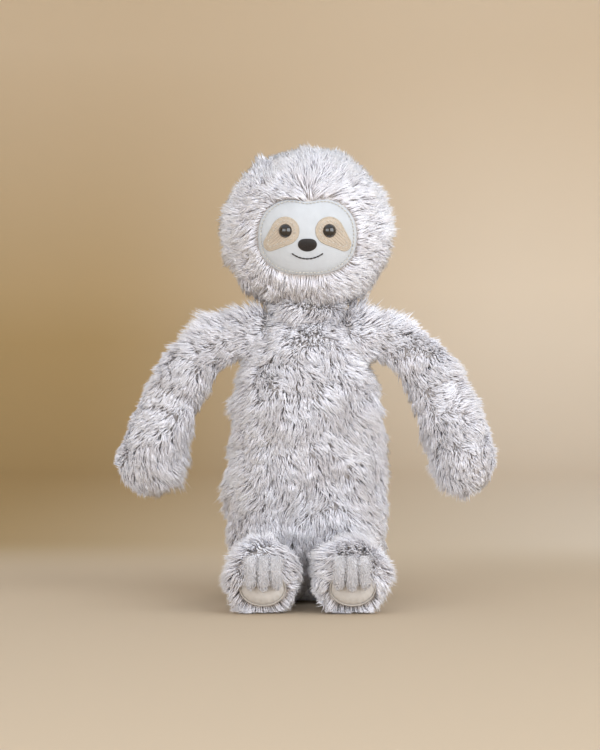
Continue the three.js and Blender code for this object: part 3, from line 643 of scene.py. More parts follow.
def grow_fur(roots, normals, comb, length, settings, random, upright):
    """The lines of all strands. A strand leaves the skin near its normal and bends over along the comb:
    its angle from the normal grows evenly along it, and its height and reach are the integrals of that.
    Tufts, the locks in them and the wisps in those share a direction, a length and a curl, more so the larger
    they are, and their strands draw together towards the tip."""
    count, pitch = len(roots), settings.strand_pitch
    widths = (settings.tuft_width, settings.lock_width, settings.wisp_width)
    groups = [share_into_locks(roots, width, pitch, random) for width in widths]
    swirl = drift(roots, settings.swirl_spacing, random) + spread(groups, SWIRL_SPREAD, count, random)
    swirl = math.radians(settings.swirl) * swirl
    ahead = comb * np.cos(swirl)[:, None] + np.cross(normals, comb) * np.sin(swirl)[:, None]
    sideways = np.cross(normals, ahead)
    lift = np.clip(settings.lift + spread(groups, LIFT_SPREAD, count, random), 3, 60)
    lift = np.radians(lift) * (1 - 0.6 * upright)
    lay = np.radians(settings.lay + spread(groups, LAY_SPREAD, count, random)) * (1 - 0.45 * upright)
    lay = np.maximum(lay, lift + 0.15)
    long = length * (1.06 + spread(groups, LENGTH_SPREAD, count, random))
    for (_, _, edge), loss in zip(groups, EDGE_LOSS):
        long = long * (1 - loss * np.clip(edge, 0, 1.3) ** 2)
    curl = spread(groups, CURL_SPREAD, count, random)
    shares = np.linspace(0, 1, settings.strand_steps + 1)
    angle = lift[:, None] + (lay - lift)[:, None] * shares
    bend = (lay - lift)[:, None]
    height = long[:, None] * (np.sin(angle) - np.sin(lift)[:, None]) / bend
    reach = long[:, None] * (np.cos(lift)[:, None] - np.cos(angle)) / bend
    sway = (long * curl)[:, None] * shares**2
    paths = (
        roots[:, None]
        + normals[:, None] * height[..., None]
        + ahead[:, None] * reach[..., None]
        + sideways[:, None] * sway[..., None]
    )
    for (owner, members, _), share in zip(reversed(groups), GATHER_SHARES):
        hold = settings.gather * share * (1 + 0.2 * random.normal(size=members)[owner])
        hold = hold * (1 - 0.6 * np.clip(upright, 0, 1))
        paths = gathered(paths, owner, members, np.clip(hold, 0, 0.9), shares)
    stray = random.normal(size=(count, 1, 3)) * STRAY_SHARE * long[:, None, None] * shares[None, :, None] ** 2
    tone = 0.55 + spread(groups, TONE_SPREAD, count, random)
    return paths + stray, np.clip(tone, 0.02, 0.95)


def strand_map(tone, across, up):
    """The map's corners of faces that all strands have. A strand's narrow column starts at its tone."""
    column_width, margin = 0.012, 0.02
    u, v = np.broadcast_arrays(tone[:, None, None] + across * column_width, margin + (1 - 2 * margin) * up)
    return np.stack([u, v], axis=-1).reshape(-1, 2)


def strands(paths, normals, tone, strand_width, random):
    """The shape of closed three-sided strands along their lines, widest before the middle and pointed at
    the tip. Its map gives a strand's tone, across, and the share from root to tip, up."""
    count, steps = paths.shape[0], paths.shape[1] - 1
    width = strand_width * (0.75 + 0.5 * random.random(count))
    shares = np.arange(steps) / steps
    profile = 0.5 * (0.75 + 1.1 * shares - 1.25 * shares**2)
    ways = unit(np.diff(paths, axis=1))
    level = unit(np.cross(normals[:, None], ways))
    raised = np.cross(ways, level)
    roll = random.normal(size=(count, 1, 1)) * 0.6
    across = level * np.cos(roll) + raised * np.sin(roll)
    upright = raised * np.cos(roll) - level * np.sin(roll)
    corners = np.array([[1, -0.3], [0, 0.6], [-1, -0.3]])
    size = (width[:, None] * profile)[..., None, None]
    section = across[:, :, None] * corners[:, :1] + upright[:, :, None] * corners[:, 1:]
    rings = paths[:, :-1, None] + size * section
    points = np.concatenate([rings.reshape(count, -1, 3), paths[:, -1:]], axis=1)
    side = np.arange(3)
    starts = np.arange(steps) * 3
    quads = quads_between(starts[:-1], starts[1:], 3)
    tips = np.stack([starts[-1] + side, starts[-1] + (side + 1) % 3, np.full(3, steps * 3)], axis=-1)
    triangles = np.concatenate([[[0, 2, 1]], tips])
    first = (np.arange(count) * (steps * 3 + 1))[:, None, None]
    low = np.repeat(shares[:-1], 3)
    high = low + 1 / steps
    left = np.tile(side / 3, steps - 1)
    right = left + 1 / 3
    quad_across = np.stack([left, right, right, left], axis=-1)
    quad_map = strand_map(tone, quad_across, np.stack([low, low, high, high], axis=-1))
    tip_across = np.stack([side / 3, (side + 1) / 3, side / 3 + 1 / 6], axis=-1)
    tip_up = np.tile([shares[-1], shares[-1], 1], (3, 1))
    end_across, end_up = [[0, 1, 0.5]], [[0, 0, 0.02]]
    tip_map = strand_map(tone, np.concatenate([end_across, tip_across]), np.concatenate([end_up, tip_up]))
    corner_map = np.concatenate([quad_map, tip_map])
    quads, triangles = (first + quads).reshape(-1, 4), (first + triangles).reshape(-1, 3)
    return points.reshape(-1, 3), quads, triangles, corner_map


def brushed(roots, normals, comb, length, random):
    """The lines of short hairs, each of which rises along its normal and bends over along the comb."""
    shares = np.linspace(0, 1, 3)[None, :, None]
    long = length * (0.8 + 0.4 * random.random((len(roots), 1, 1)))
    rise = 0.42 * long * (1 - (1 - shares) ** 2)
    aside = 0.12 * long * shares * random.normal(size=(len(roots), 1, 1))
    across = np.cross(normals, comb)
    paths = roots[:, None] + normals[:, None] * rise
    return paths + comb[:, None] * 0.85 * long * shares + across[:, None] * aside


def kept_above_floor(paths, random):
    """Strands that reach the floor lie pressed on it."""
    pressed = (0.9 + 1.6 * random.random(len(paths)))[:, None] * MM
    paths[..., 2] = np.maximum(paths[..., 2], pressed)
    return paths


def mask_level(x, z):
    """1 on the mask's outline, less inside it and more outside."""
    x = np.asarray(x) / MASK_HALF[0]
    z = np.asarray(z) - FACE_Z
    dip = np.where(z > 0, MASK_DIP * np.exp(-((x * MASK_HALF[0] / MASK_DIP_WIDTH) ** 2)), 0)
    high = (z + dip) / MASK_HALF[1]
    return (np.abs(x) ** MASK_POWER + np.abs(high) ** MASK_POWER) ** (1 / MASK_POWER)


def mask_outline(count):
    """The mask's rim: an oval of a higher power, dipped at the top."""
    turn = full_turn(600)
    right, high = np.cos(turn), np.sin(turn)
    x = MASK_HALF[0] * np.sign(right) * np.abs(right) ** (2 / MASK_POWER)
    z = MASK_HALF[1] * np.sign(high) * np.abs(high) ** (2 / MASK_POWER)
    z = z - np.where(high > 0, MASK_DIP * np.exp(-((x / MASK_DIP_WIDTH) ** 2)), 0)
    return even_loop(np.stack([x, FACE_Z + z], axis=-1), count)


def patch_outline(side, grown, count):
    """The hull of a large round at the eye and a small one below and outside it: in each direction,
    the point of whichever round reaches further."""
    turn = full_turn(600)
    way = np.stack([np.cos(turn), np.sin(turn)], axis=-1)
    large = np.array([side * EYE_X, FACE_Z + EYE_Z])
    small = large + PATCH_LENGTH * np.array([side * math.cos(PATCH_SLOPE), -math.sin(PATCH_SLOPE)])
    far_large = way @ large + PATCH_RADII[0]
    far_small = way @ small + PATCH_RADII[1]
    on_large = large + way * (PATCH_RADII[0] + grown)
    on_small = small + way * (PATCH_RADII[1] + grown)
    return even_loop(np.where((far_large > far_small)[:, None], on_large, on_small), count)


def oval(centre, half, count, grown=0.0):
    """An ellipse's outline in a plane."""
    turn = full_turn(400)
    points = np.stack([(half[0] + grown) * np.cos(turn), (half[1] + grown) * np.sin(turn)], axis=-1)
    return even_loop(np.array(centre) + points, count)


# Materials

BACKING_COLOURS = (paint(206, 199, 197), paint(232, 227, 226))
WASHER_COLOURS = (paint(205, 205, 200), paint(232, 232, 228))


def dimmed(colour, share):
    """A share of a colour's light."""
    return tuple(x * share for x in colour)


def add(tree, kind, inputs, **properties):
    """A new shader node's outputs. Its inputs are given by name or number, each as a value or as the output
    that feeds it."""
    made = tree.nodes.new("ShaderNode" + kind)
    for name, value in properties.items():
        setattr(made, name, value)
    for key, value in inputs.items():
        if isinstance(value, bpy.types.NodeSocket):
            tree.links.new(value, made.inputs[key])
        else:
            made.inputs[key].default_value = value
    return made.outputs


def maths(tree, operation, *values):
    """What a sum makes of values or of other nodes' outputs."""
    return add(tree, "Math", dict(enumerate(values)), operation=operation)[0]


def ranged(tree, value, low, high, to_low=0.0, to_high=1.0, how="LINEAR"):
    """A value carried from one range to another, and held at its ends."""
    ends = dict(enumerate((value, low, high, to_low, to_high)))
    return add(tree, "MapRange", ends, interpolation_type=how)[0]


def mixed(tree, share, one, other, how="MIX"):
    """Two colours mixed: a Mix node has them as its inputs 6 and 7, and the mixture as its output 2."""
    return add(tree, "Mix", {0: share, 6: one, 7: other}, data_type="RGBA", blend_type=how)[2]


def ramped(tree, value, stops, how="LINEAR"):
    """The colour at a value's place on a ramp of stops, each of which is a place and a colour."""
    made = tree.nodes.new("ShaderNodeValToRGB")
    made.color_ramp.interpolation = how
    elements = made.color_ramp.elements
    elements[0].color = (*stops[0][1], 1)
    elements[1].color = (*stops[-1][1], 1)
    elements[1].position = stops[-1][0]
    for place, colour in stops[1:-1]:
        elements.new(place).color = (*colour, 1)
    tree.links.new(value, made.inputs[0])
    return made.outputs[0]


def cloth_grain():
    """A group of cloth's uneven colour and its raised grain: coarse and fine noise, mixed."""
    name = "Cloth grain"
    if name in bpy.data.node_groups:
        return bpy.data.node_groups[name]
    group = bpy.data.node_groups.new(name, "ShaderNodeTree")
    for way, socket, kind in (
        ("INPUT", "Place", "Vector"),
        ("INPUT", "Coarse per metre", "Float"),
        ("INPUT", "Fine per metre", "Float"),
        ("INPUT", "Dark", "Color"),
        ("INPUT", "Light", "Color"),
        ("OUTPUT", "Color", "Color"),
        ("OUTPUT", "Height", "Float"),
    ):
        group.interface.new_socket(name=socket, in_out=way, socket_type=f"NodeSocket{kind}")
    start = group.nodes.new("NodeGroupInput").outputs
    end = group.nodes.new("NodeGroupOutput").inputs
    noises = []
    for size, detail, roughness in (("Coarse", 3.0, 0.55), ("Fine", 4.0, 0.65)):
        inputs = {"Vector": start["Place"], "Scale": start[f"{size} per metre"]}
        noises.append(add(group, "TexNoise", inputs | {"Detail": detail, "Roughness": roughness})["Fac"])
    coarse, fine = noises
    both = maths(group, "MULTIPLY_ADD", fine, 0.45, maths(group, "MULTIPLY", coarse, 0.55))
    colour = mixed(group, ranged(group, both, 0.3, 0.7), start["Dark"], start["Light"])
    group.links.new(colour, end["Color"])
    group.links.new(fine, end["Height"])
    return group


def made_once(make):
    """A maker of materials that gives back the one of a name if it was made before."""

    @wraps(make)
    def maker(name, *values, **options):
        return bpy.data.materials.get(name) or make(name, *values, **options)

    return maker


def surface(name, roughness, sheen=0.0, coat=0.0, specular=0.3):
    """A material, its tree, and the sockets of its Principled shader with their plain values set."""
    made = bpy.data.materials.new(name)
    made.use_nodes = True
    shader = made.node_tree.nodes["Principled BSDF"].inputs
    shader["Roughness"].default_value = roughness
    shader["Sheen Weight"].default_value = sheen
    shader["Sheen Roughness"].default_value = 0.45
    shader["Coat Weight"].default_value = coat
    shader["Coat Roughness"].default_value = 0.03
    shader["Specular IOR Level"].default_value = specular
    return made, made.node_tree, shader


def grained(name, dark, light, coarse, fine, roughness, **values):
    """A surface in the cloth grain's colours, with the grain's height."""
    made, tree, shader = surface(name, roughness, **values)
    inputs = {"Place": add(tree, "TexCoord", {})["Object"], "Dark": (*dark, 1), "Light": (*light, 1)}
    inputs |= {"Coarse per metre": coarse, "Fine per metre": fine}
    grain = add(tree, "Group", inputs, node_tree=cloth_grain())
    tree.links.new(grain["Color"], shader["Base Color"])
    return made, tree, shader, grain["Height"]


@made_once
def cloth(name, dark, light, coarse, fine, roughness=0.9, sheen=0.3, bump=0.2 * MM):
    """Cloth whose colour is uneven and whose grain is raised."""
    made, tree, shader, height = grained(name, dark, light, coarse, fine, roughness, sheen=sheen)
    raised = add(tree, "Bump", {"Strength": 1.0, "Distance": bump, "Height": height})
    tree.links.new(raised["Normal"], shader["Normal"])
    return made


def thread(name, colour):
    """Satin thread: a fine streaky grain, darker between its fibres, and a soft shine."""
    dark, finish = dimmed(colour, 0.55), {"roughness": 0.42, "sheen": 0.15, "bump": 0.12 * MM}
    return cloth(name, dark, colour, coarse=500, fine=2600, **finish)


@made_once
def gloss(name, colour):
    """Polished plastic, a little uneven in its shine from handling."""
    bright = tuple(min(x * 1.5, 1) for x in colour)
    dark = dimmed(colour, 0.6)
    finish = {"roughness": 0.12, "coat": 1.0, "specular": 0.5}
    made, tree, shader, height = grained(name, dark, bright, coarse=180, fine=900, **finish)
    tree.links.new(ranged(tree, height, 0.0, 1.0, 0.07, 0.2), shader["Roughness"])
    return made


@made_once
def pile(name, root, middle, tip, dark_tone, light_tone):
    """Silky pile: darker at the root, pale at the tip, each strand as light as its column of the map says."""
    made, tree, shader = surface(name, 0.85, sheen=0.2, specular=0.06)
    shader["Diffuse Roughness"].default_value = 1
    place = add(tree, "UVMap", {}, uv_map=FUR_MAP)["UV"]
    column, height, _ = add(tree, "SeparateXYZ", {0: place})
    colour = ramped(tree, height, [(0, root), (0.33, middle), (0.85, tip)], "EASE")
    shade = ramped(tree, column, [(0, dark_tone), (1, light_tone)])
    tree.links.new(mixed(tree, 1, colour, shade, "MULTIPLY"), shader["Base Color"])
    return made


def fur_backing():
    """The woven cloth that the pile grows from."""
    return cloth("fur_backing", *BACKING_COLOURS, coarse=260, fine=1400, bump=0.6 * MM)


# Pieces


def add_piece(name, shape, body, slot, material, *nodes):
    """A piece that rides on its body, takes its finish, and stands for its nodes. Its slot is not used."""
    piece = new_piece(name, *shape)
    piece.data.materials.append(material)
    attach(piece, body)
    if nodes:
        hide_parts(*nodes)
    return piece


def add_skin(name, body, form, settings, nodes, around, along):
    """The stuffed cloth under the pile."""
    shape = shell(form, settings.root_depth, around, along, stuffing_relief)
    piece = add_piece(name, shape, body, "fur", fur_backing(), *nodes)


def add_fur(name, body, form, settings, seed, length, style, part_of=None, on_floor=False, inset=None):
    """Fur over a form, in one piece or in one for each number that part_of gives.

    style takes the roots, their normals, the length and the random numbers. It returns the roots that stay,
    their normals, and how their strands are combed, how long and how upright they are."""
    random = np.random.default_rng(settings.seed + seed)
    depth = settings.root_depth if inset is None else inset
    roots, normals = scatter_roots(form, depth, settings.strand_pitch, random)
    roots, normals, comb, length, upright = style(roots, normals, length, random)
    paths, tone = grow_fur(roots, normals, comb, length, settings, random, upright)
    if on_floor:
        paths = kept_above_floor(paths, random)
    colours = (settings.root_colour, settings.middle_colour, settings.tip_colour)
    silky_pile = pile("silky_pile", *colours, settings.dark_tone, settings.light_tone)
    parts = part_of(roots) if part_of else np.zeros(len(roots), dtype=int)
    for part in range(parts.max() + 1):
        chosen = parts == part
        shape = strands(paths[chosen], normals[chosen], tone[chosen], settings.strand_width, random)
        add_piece(f"{name}_{part + 1}" if part_of else name, shape, body, "fur", silky_pile)


def apart(roots, joint, distance):
    """Which roots lie further than a distance from a joint's pivot."""
    return np.linalg.norm(roots - PIVOTS[joint], axis=1) > distance


def face_inset(x, z):
    """The inset of the mask's puffed face at a place: it rises to the middle with the square of the level."""
    level = np.clip(mask_level(x, z), 0, 1)
    return MASK_INSET - bpy.context.scene.plush_face.mask_puff * (1 - level**2)


def under(inset_of, depth):
    """The inset a given depth below another."""
    return lambda x, z: inset_of(x, z) + depth


def level_rim(inset):
    """The same inset at every place."""
    return lambda x, z: np.full(np.shape(x), inset)


# Properties


def whole(name, description, default, **values):
    """A setting that is a whole number."""
    return bpy.props.IntProperty(name=name, description=description, default=default, **values)


def amount(name, description, default, **values):
    """A setting that is a number."""
    return bpy.props.FloatProperty(name=name, description=description, default=default, **values)


def several(name, description, default, **values):
    """A setting of three numbers."""
    make = bpy.props.FloatVectorProperty
    return make(name=name, description=description, default=default, size=3, **values)


def measure(name, description, default):
    """A setting that is a length."""
    return amount(name, description, default, min=0, unit="LENGTH", subtype="DISTANCE", precision=4)


def tint(name, description, default):
    """A setting that is a colour."""
    return several(name, description, default, subtype="COLOR", min=0, max=1)


class FurSettings(bpy.types.PropertyGroup):
    """The sizes, the ways and the colours of the fur"""

    torso_length: measure("Torso pile", "Length of a strand on the torso", 18.5 * MM)
    head_length: measure("Head pile", "Length of a strand on the head", 17 * MM)
    arm_length: measure("Arm pile", "Length of a strand on the arms", 18.5 * MM)
    leg_length: measure("Leg pile", "Length of a strand on the legs", 18.5 * MM)
    root_depth: measure("Root depth", "Depth of the skin under the middle of the pile", 7 * MM)
    strand_width: measure("Strand width", "Width of a strand at its widest", 1.0 * MM)
    strand_pitch: measure("Strand pitch", "Mean distance between roots", 1.28 * MM)
    tuft_width: measure("Tuft width", "Width of a tuft, the largest group of strands", 25 * MM)
    lock_width: measure("Lock width", "Width of a lock of strands at the skin", 10 * MM)
    wisp_width: measure("Wisp width", "Width of the small wisps in a lock", 3.6 * MM)
    swirl_spacing: measure("Swirl spacing", "Distance over which the fur's direction changes", 70 * MM)
    strand_steps: whole("Strand steps", "Straight pieces in a strand", 2, min=2, max=6)
    seed: whole("Seed", "Start of the random numbers", 7, min=0)
    lift: amount("Lift", "Angle from the normal at the root, in degrees", 24, min=0, max=80)
    lay: amount("Lay", "Angle from the normal at the tip, in degrees", 76, min=10, max=120)
    swirl: amount("Swirl", "Spread of the fur's directions, in degrees", 28, min=0, max=90)
    gather: amount("Gather", "How far a lock's strands draw together at the tip", 0.38, min=0, max=1)
    root_colour: tint("Roots", "Colour at the roots", paint(238, 229, 224))
    middle_colour: tint("Middles", "Colour below the tips", paint(249, 248, 254))
    tip_colour: tint("Tips", "Colour of the tips", paint(252, 251, 255))
    dark_tone: tint("Dark strands", "Tint of the darkest strands", (0.8, 0.775, 0.765))
    light_tone: tint("Light strands", "Tint of the lightest strands", (1, 1, 1))


class FaceSettings(bpy.types.PropertyGroup):
    """The colours of the face, and how far it is stuffed"""

    mask_colour: tint("Mask", "Colour of the face's short pile", paint(202, 205, 210))
    patch_colour: tint("Patches", "Colour of the felt round the eyes", paint(203, 188, 171))
    thread_colour: tint("Thread", "Colour of the embroidery", paint(52, 46, 44))
    patch_thread_colour: tint("Patch thread", "Colour of the patches' edges", paint(212, 197, 178))
    stitch_colour: tint("Edge thread", "Colour of the thread at the mask's rim", paint(222, 218, 210))
    eye_colour: tint("Eyes", "Colour of the eyes", paint(22, 17, 14))
    mask_puff: measure("Mask puff", "Rise of the mask's middle over its rim", 1.6 * MM)


class FootSettings(bpy.types.PropertyGroup):
    """The colours of the soles and the claws, and the claws' nap"""

    pad_colour: tint("Pads", "Colour of the sole pads", paint(212, 206, 201))
    pad_edge_colour: tint("Pad edges", "Colour of the pads' sewn edges", paint(200, 192, 184))
    claw_colour: tint("Claws", "Colour of the claws' wool", paint(222, 219, 221))
    nap_length: measure("Claw nap", "Length of the nap on the claws", 4.2 * MM)
    nap_width: measure("Nap width", "Width of a hair of the nap", 0.6 * MM)
    nap_pitch: measure("Nap pitch", "Mean distance between the nap's roots", 0.95 * MM)


class StudioSettings(bpy.types.PropertyGroup):
    """The camera, the lamps and the colours of the backdrop"""

    camera_place: several("Camera", "Place of the camera", (-0.007, -1.9, 0.218), subtype="TRANSLATION")
    lens: amount("Lens", "Focal length in millimetres", 93.07, min=10)
    key_power: amount("Key lamp", "Power of the soft lamp on the right", 57, min=0, unit="POWER")
    fill_power: amount("Fill lamp", "Power of the wide lamp in front", 46, min=0, unit="POWER")
    sky_strength: amount("Sky", "Strength of the even light", 0.84, min=0)
    floor_colour: tint("Floor", "Colour of the floor", paint(200, 181, 157))
    # Painted shade and painted light: the backdrop's colour on the left is painted shade, and on the right
    # painted light.
    shaded_wall: tint("Shaded wall", "Colour of the backdrop on the left", paint(190, 161, 114))
    lit_wall: tint("Lit wall", "Colour of the backdrop on the right", paint(250, 234, 213))


# Operators


class PLUSH_OT_studio(bpy.types.Operator):
    """Make the pale sweep, the lamps and the camera"""

    bl_idname = "plush.studio"
    bl_label = "Studio"

    def execute(self, context):
        settings = context.scene.plush_studio
        self.sweep(settings)
        self.lamps(context, settings)
        self.camera(context, settings)
        return {"FINISHED"}

    def sweep(self, settings):
        """A round floor that curves up into a round wall: a quarter circle joins the two."""
        reach, bend, top = 3.4, 1.0, 3.2
        quarter = np.linspace(0, np.pi / 2, 12)
        radius = np.concatenate([[0.6, 1.6], reach - bend + bend * np.sin(quarter), [reach]])[:, None]
        height = np.concatenate([[0, 0], bend - bend * np.cos(quarter), [top]])[:, None]
        turn = full_turn(96)
        rings = np.stack([radius * np.cos(turn), radius * np.sin(turn), height + 0 * turn], axis=-1)
        points, quads, triangles = closed_rings(rings, np.zeros(3), rings[-1].mean(axis=0))
        lid = len(points) - 1
        triangles = triangles[(triangles != lid).all(axis=1)]
        sweep = new_piece("studio_sweep", points[:-1], quads[:, ::-1], triangles[:, ::-1])
        sweep.data.materials.append(self.paper(settings))

    def paper(self, settings):
        """Pale paper, with painted shade and painted light. The wall is painted darker on the left, most of
        all near the floor, and lighter on the right, and behind the toy the floor is painted as dark as it
        takes to look like the wall, which gets less light."""
        even, smoothly = 0.62, "SMOOTHSTEP"
        made, tree, shader = surface("studio_paper", 0.95, specular=0.1)
        x, y, z = add(tree, "SeparateXYZ", {0: add(tree, "TexCoord", {})["Object"]})
        behind = ranged(tree, y, 0.05, 0.6, how=smoothly)
        above = ranged(tree, z, 0.0, 0.3, how=smoothly)
        across = ranged(tree, x, -0.6, 0.6, how=smoothly)
        at_back = ranged(tree, y, 0.1, 0.7, how=smoothly)
        in_middle = ranged(tree, maths(tree, "ABSOLUTE", x), 1.2, 2.0, 1.0, 0.0)
        contrast = ranged(tree, z, 0.3, 1.1, 1.0, 0.2)
        weight = maths(tree, "MULTIPLY", contrast, maths(tree, "MULTIPLY", at_back, in_middle))
        share = maths(tree, "MULTIPLY_ADD", maths(tree, "SUBTRACT", across, even), weight, even)
        # Painted shade and painted light: the wall's left takes the shaded colour and its right the lit one,
        # most of all low down behind the toy.
        wall = mixed(tree, share, (*settings.shaded_wall, 1), (*settings.lit_wall, 1))
        # Painted shade: the wall darkens towards the floor.
        wall = mixed(tree, 1, wall, ranged(tree, z, 0.0, 0.45, 0.82, 1.0), "MULTIPLY")
        # Behind the toy the floor takes the wall's painted shade and light.
        on_wall = maths(tree, "MAXIMUM", behind, above)
        tree.links.new(mixed(tree, on_wall, (*settings.floor_colour, 1), wall), shader["Base Color"])
        return made

    def lamps(self, context, settings):
        """A large soft key on the right, a wide weak fill in front on the left, and an even sky."""
        lamps = {
            "key_lamp": ((1.5, -1.5, 0.6), settings.key_power),
            "fill_lamp": ((-1.1, -2.0, 0.4), settings.fill_power),
        }
        for name, (place, power) in lamps.items():
            lamp = bpy.data.lights.new(name, "AREA")
            lamp.energy, lamp.size, lamp.color = power, LAMP_SIZE, LAMP_COLOUR
            aim = LAMP_AIM - Vector(place)
            self.put(context, name, lamp, place, aim.to_track_quat("-Z", "Y").to_euler())
        world = bpy.data.worlds.new("sky")
        world.use_nodes = True
        back = world.node_tree.nodes["Background"].inputs
        back["Color"].default_value = SKY_COLOUR
        back["Strength"].default_value = settings.sky_strength
        context.scene.world = world

    def camera(self, context, settings):
        """Level, at the photograph's angle."""
        lens = bpy.data.cameras.new("camera")
        lens.sensor_width = 36
        lens.lens = settings.lens
        context.scene.camera = self.put(context, "camera", lens, settings.camera_place, (math.pi / 2, 0, 0))
        context.scene.view_settings.view_transform = "Standard"

    def put(self, context, name, data, place, rotation):
        """A lamp or a camera at its place in the scene."""
        made = bpy.data.objects.new(name, data)
        made.location = place
        made.rotation_euler = rotation
        context.scene.collection.objects.link(made)
        return made


class PLUSH_OT_torso(bpy.types.Operator):
    """Make the torso's stuffed skin and its fur"""

    bl_idname = "plush.torso"
    bl_label = "Torso"

    def execute(self, context):
        settings = context.scene.plush_fur
        nodes = ("torso_cover", "torso_filling", "seat_pellet_bag")
        add_skin("torso_skin", "torso", torso_form, settings, nodes, around=96, along=110)
        long, style, parts = settings.torso_length, self.style, self.quarter
        add_fur("torso_fur", "torso", torso_form, settings, 0, long, style, parts, on_floor=True)
        return {"FINISHED"}

    def style(self, roots, normals, length, random):
        """Bare at the joints and thin under the seat, longer and more upright at the shoulders."""
        bare_neck, bare_hip, thinning = 12 * MM, 16 * MM, 0.75
        keep = apart(roots, "head_turn", bare_neck)
        for side in SIDES:
            keep &= apart(roots, f"{side}_leg_splay", bare_hip)
        keep &= ~((normals[:, 2] < -0.9) & (random.random(len(roots)) < thinning))
        roots, normals = roots[keep], normals[keep]
        upright = 0.22 + 0.15 * smooth(roots[:, 2], 252 * MM, 274 * MM)
        length = length * (1 + 0.15 * smooth(roots[:, 2], 225 * MM, 250 * MM))
        return roots, normals, self.comb(roots, normals), length, upright

    def comb(self, roots, normals):
        """Down the body, away from the arms' roots, and to both sides of the closing seam on the back."""
        parting, fade, arm_root = 7 * MM, 8 * MM, 30 * MM
        way = np.tile([0.0, 0.0, -1.0], (len(roots), 1))
        low = normals[:, 2] < -0.75
        way[low] = roots[low] * [1, 1, 0]
        near = np.exp(-((roots[:, 0] / parting) ** 2)) * (roots[:, 1] > 0)
        near = near * smooth(roots[:, 2], CLOSING_LOW - fade, CLOSING_LOW)
        near = near * (1 - smooth(roots[:, 2], CLOSING_HIGH, CLOSING_HIGH + fade))
        way[:, 0] += 2.2 * near * np.sign(roots[:, 0])
        for side in SIDES:
            away = np.linalg.norm(roots - PIVOTS[f"{side}_arm_swing"], axis=1)
            way += 1.2 * np.exp(-((away / arm_root) ** 2))[:, None] * arm(side).ways[0]
        return along_skin(way, normals)

    def quarter(self, roots):
        """The quarter turn about the body that a root lies in."""
        turn = np.arctan2(roots[:, 1], roots[:, 0])
        return np.clip(((turn + np.pi) / (2 * np.pi) * 4).astype(int), 0, 3)


class PLUSH_OT_gathers(bpy.types.Operator):
    """Make the gathered rings at the neck, the shoulders and the hips, each with a ruff of fur"""

    bl_idname = "plush.gathers"
    bl_label = "Gathered rings"

    def execute(self, context):
        settings = context.scene.plush_fur
        down = np.array([0, 0, -1.0])
        self.ring(settings, "neck", "neck", "", PIVOTS["head_turn"], -down, down)
        for number, side in enumerate(SIDES):
            for place, limb in (("shoulder", arm(side)), ("hip", leg(side))):
                way = limb.ways[0]
                centre = limb.line[0] - way * RINGS[place][0]
                self.ring(settings, place, f"{side}_{place}", f"_{side}", centre, way, way, number)
        return {"FINISHED"}

    def ring(self, settings, place, body, ending, centre, axis, way, number=0):
        """The ring's cloth, and fur that stands out from it or ahead and leans the way it is combed."""
        radius, thickness, upright, seed = RINGS[place]
        ring = Ring(centre, axis, radius, thickness)
        out = ring.out(full_turn(RING_FOLDS * 6))
        path = ring.centre + out * radius
        height = np.broadcast_to(-ring.axis, out.shape)
        shape = swept_loop(path, out, height, thickness, thickness, 12, RING_FOLDS, RING_FOLD_DEPTH, base=1)
        add_piece(f"{place}_gather{ending}", shape, body, "fur", fur_backing(), f"{place}_seam{ending}")

        def style(roots, normals, length, random):
            ahead = np.sum(normals * way, axis=1) > 0.1
            keep = ahead | (np.linalg.norm(roots - ring.centre, axis=1) > radius)
            roots, normals = roots[keep], normals[keep]
            comb = along_skin(np.broadcast_to(way, roots.shape) + 0.2 * np.array([0, 0, -1.0]), normals)
            return roots, normals, comb, length, upright

        name, long, seed = f"{place}_fur{ending}", settings.torso_length, seed + number
        add_fur(name, body, ring.form, settings, seed, long, style, on_floor=True, inset=0.5 * MM)


class PLUSH_OT_closing_seam(bpy.types.Operator):
    """Make the hand-sewn thread that closes the back"""

    bl_idname = "plush.closing_seam"
    bl_label = "Closing seam"

    def execute(self, context):
        """A zigzag up the back, whose thread swells and shrinks with a cosine."""
        settings = context.scene.plush_face
        count, half_width, thread_radius, power = 14, 2.6 * MM, 0.8 * MM, 2.55
        number = np.arange(count + 1)
        z = CLOSING_LOW + (CLOSING_HIGH - CLOSING_LOW) * number / count
        x = np.where(number % 2 == 0, -half_width, half_width)
        fine = np.linspace(0, count, count * 6 + 1)
        x, z = np.interp(fine, number, x), np.interp(fine, number, z)
        reach = np.where(z < BELLY_HEIGHT, TORSO_DROP, TORSO_RISE)
        girth = np.sqrt(1 - np.abs((z - BELLY_HEIGHT) / reach) ** power)
        path = np.stack([x, TORSO_HALF_DEPTH * girth - CLOSING_DEPTH, z], axis=-1)
        way = unit(np.gradient(path, axis=0))
        across = unit(np.cross(np.array([0, 1.0, 0]), way))
        size = np.full(len(path), thread_radius) * (1 + 0.12 * np.cos(fine * 2 * np.pi * 3))
        shape = swept(path, across, np.cross(way, across), size, around=8)
        dark = thread("dark_thread", settings.thread_colour)
        add_piece("closing_thread", shape, "torso", "thread", dark, "back_closing_seam")
        return {"FINISHED"}


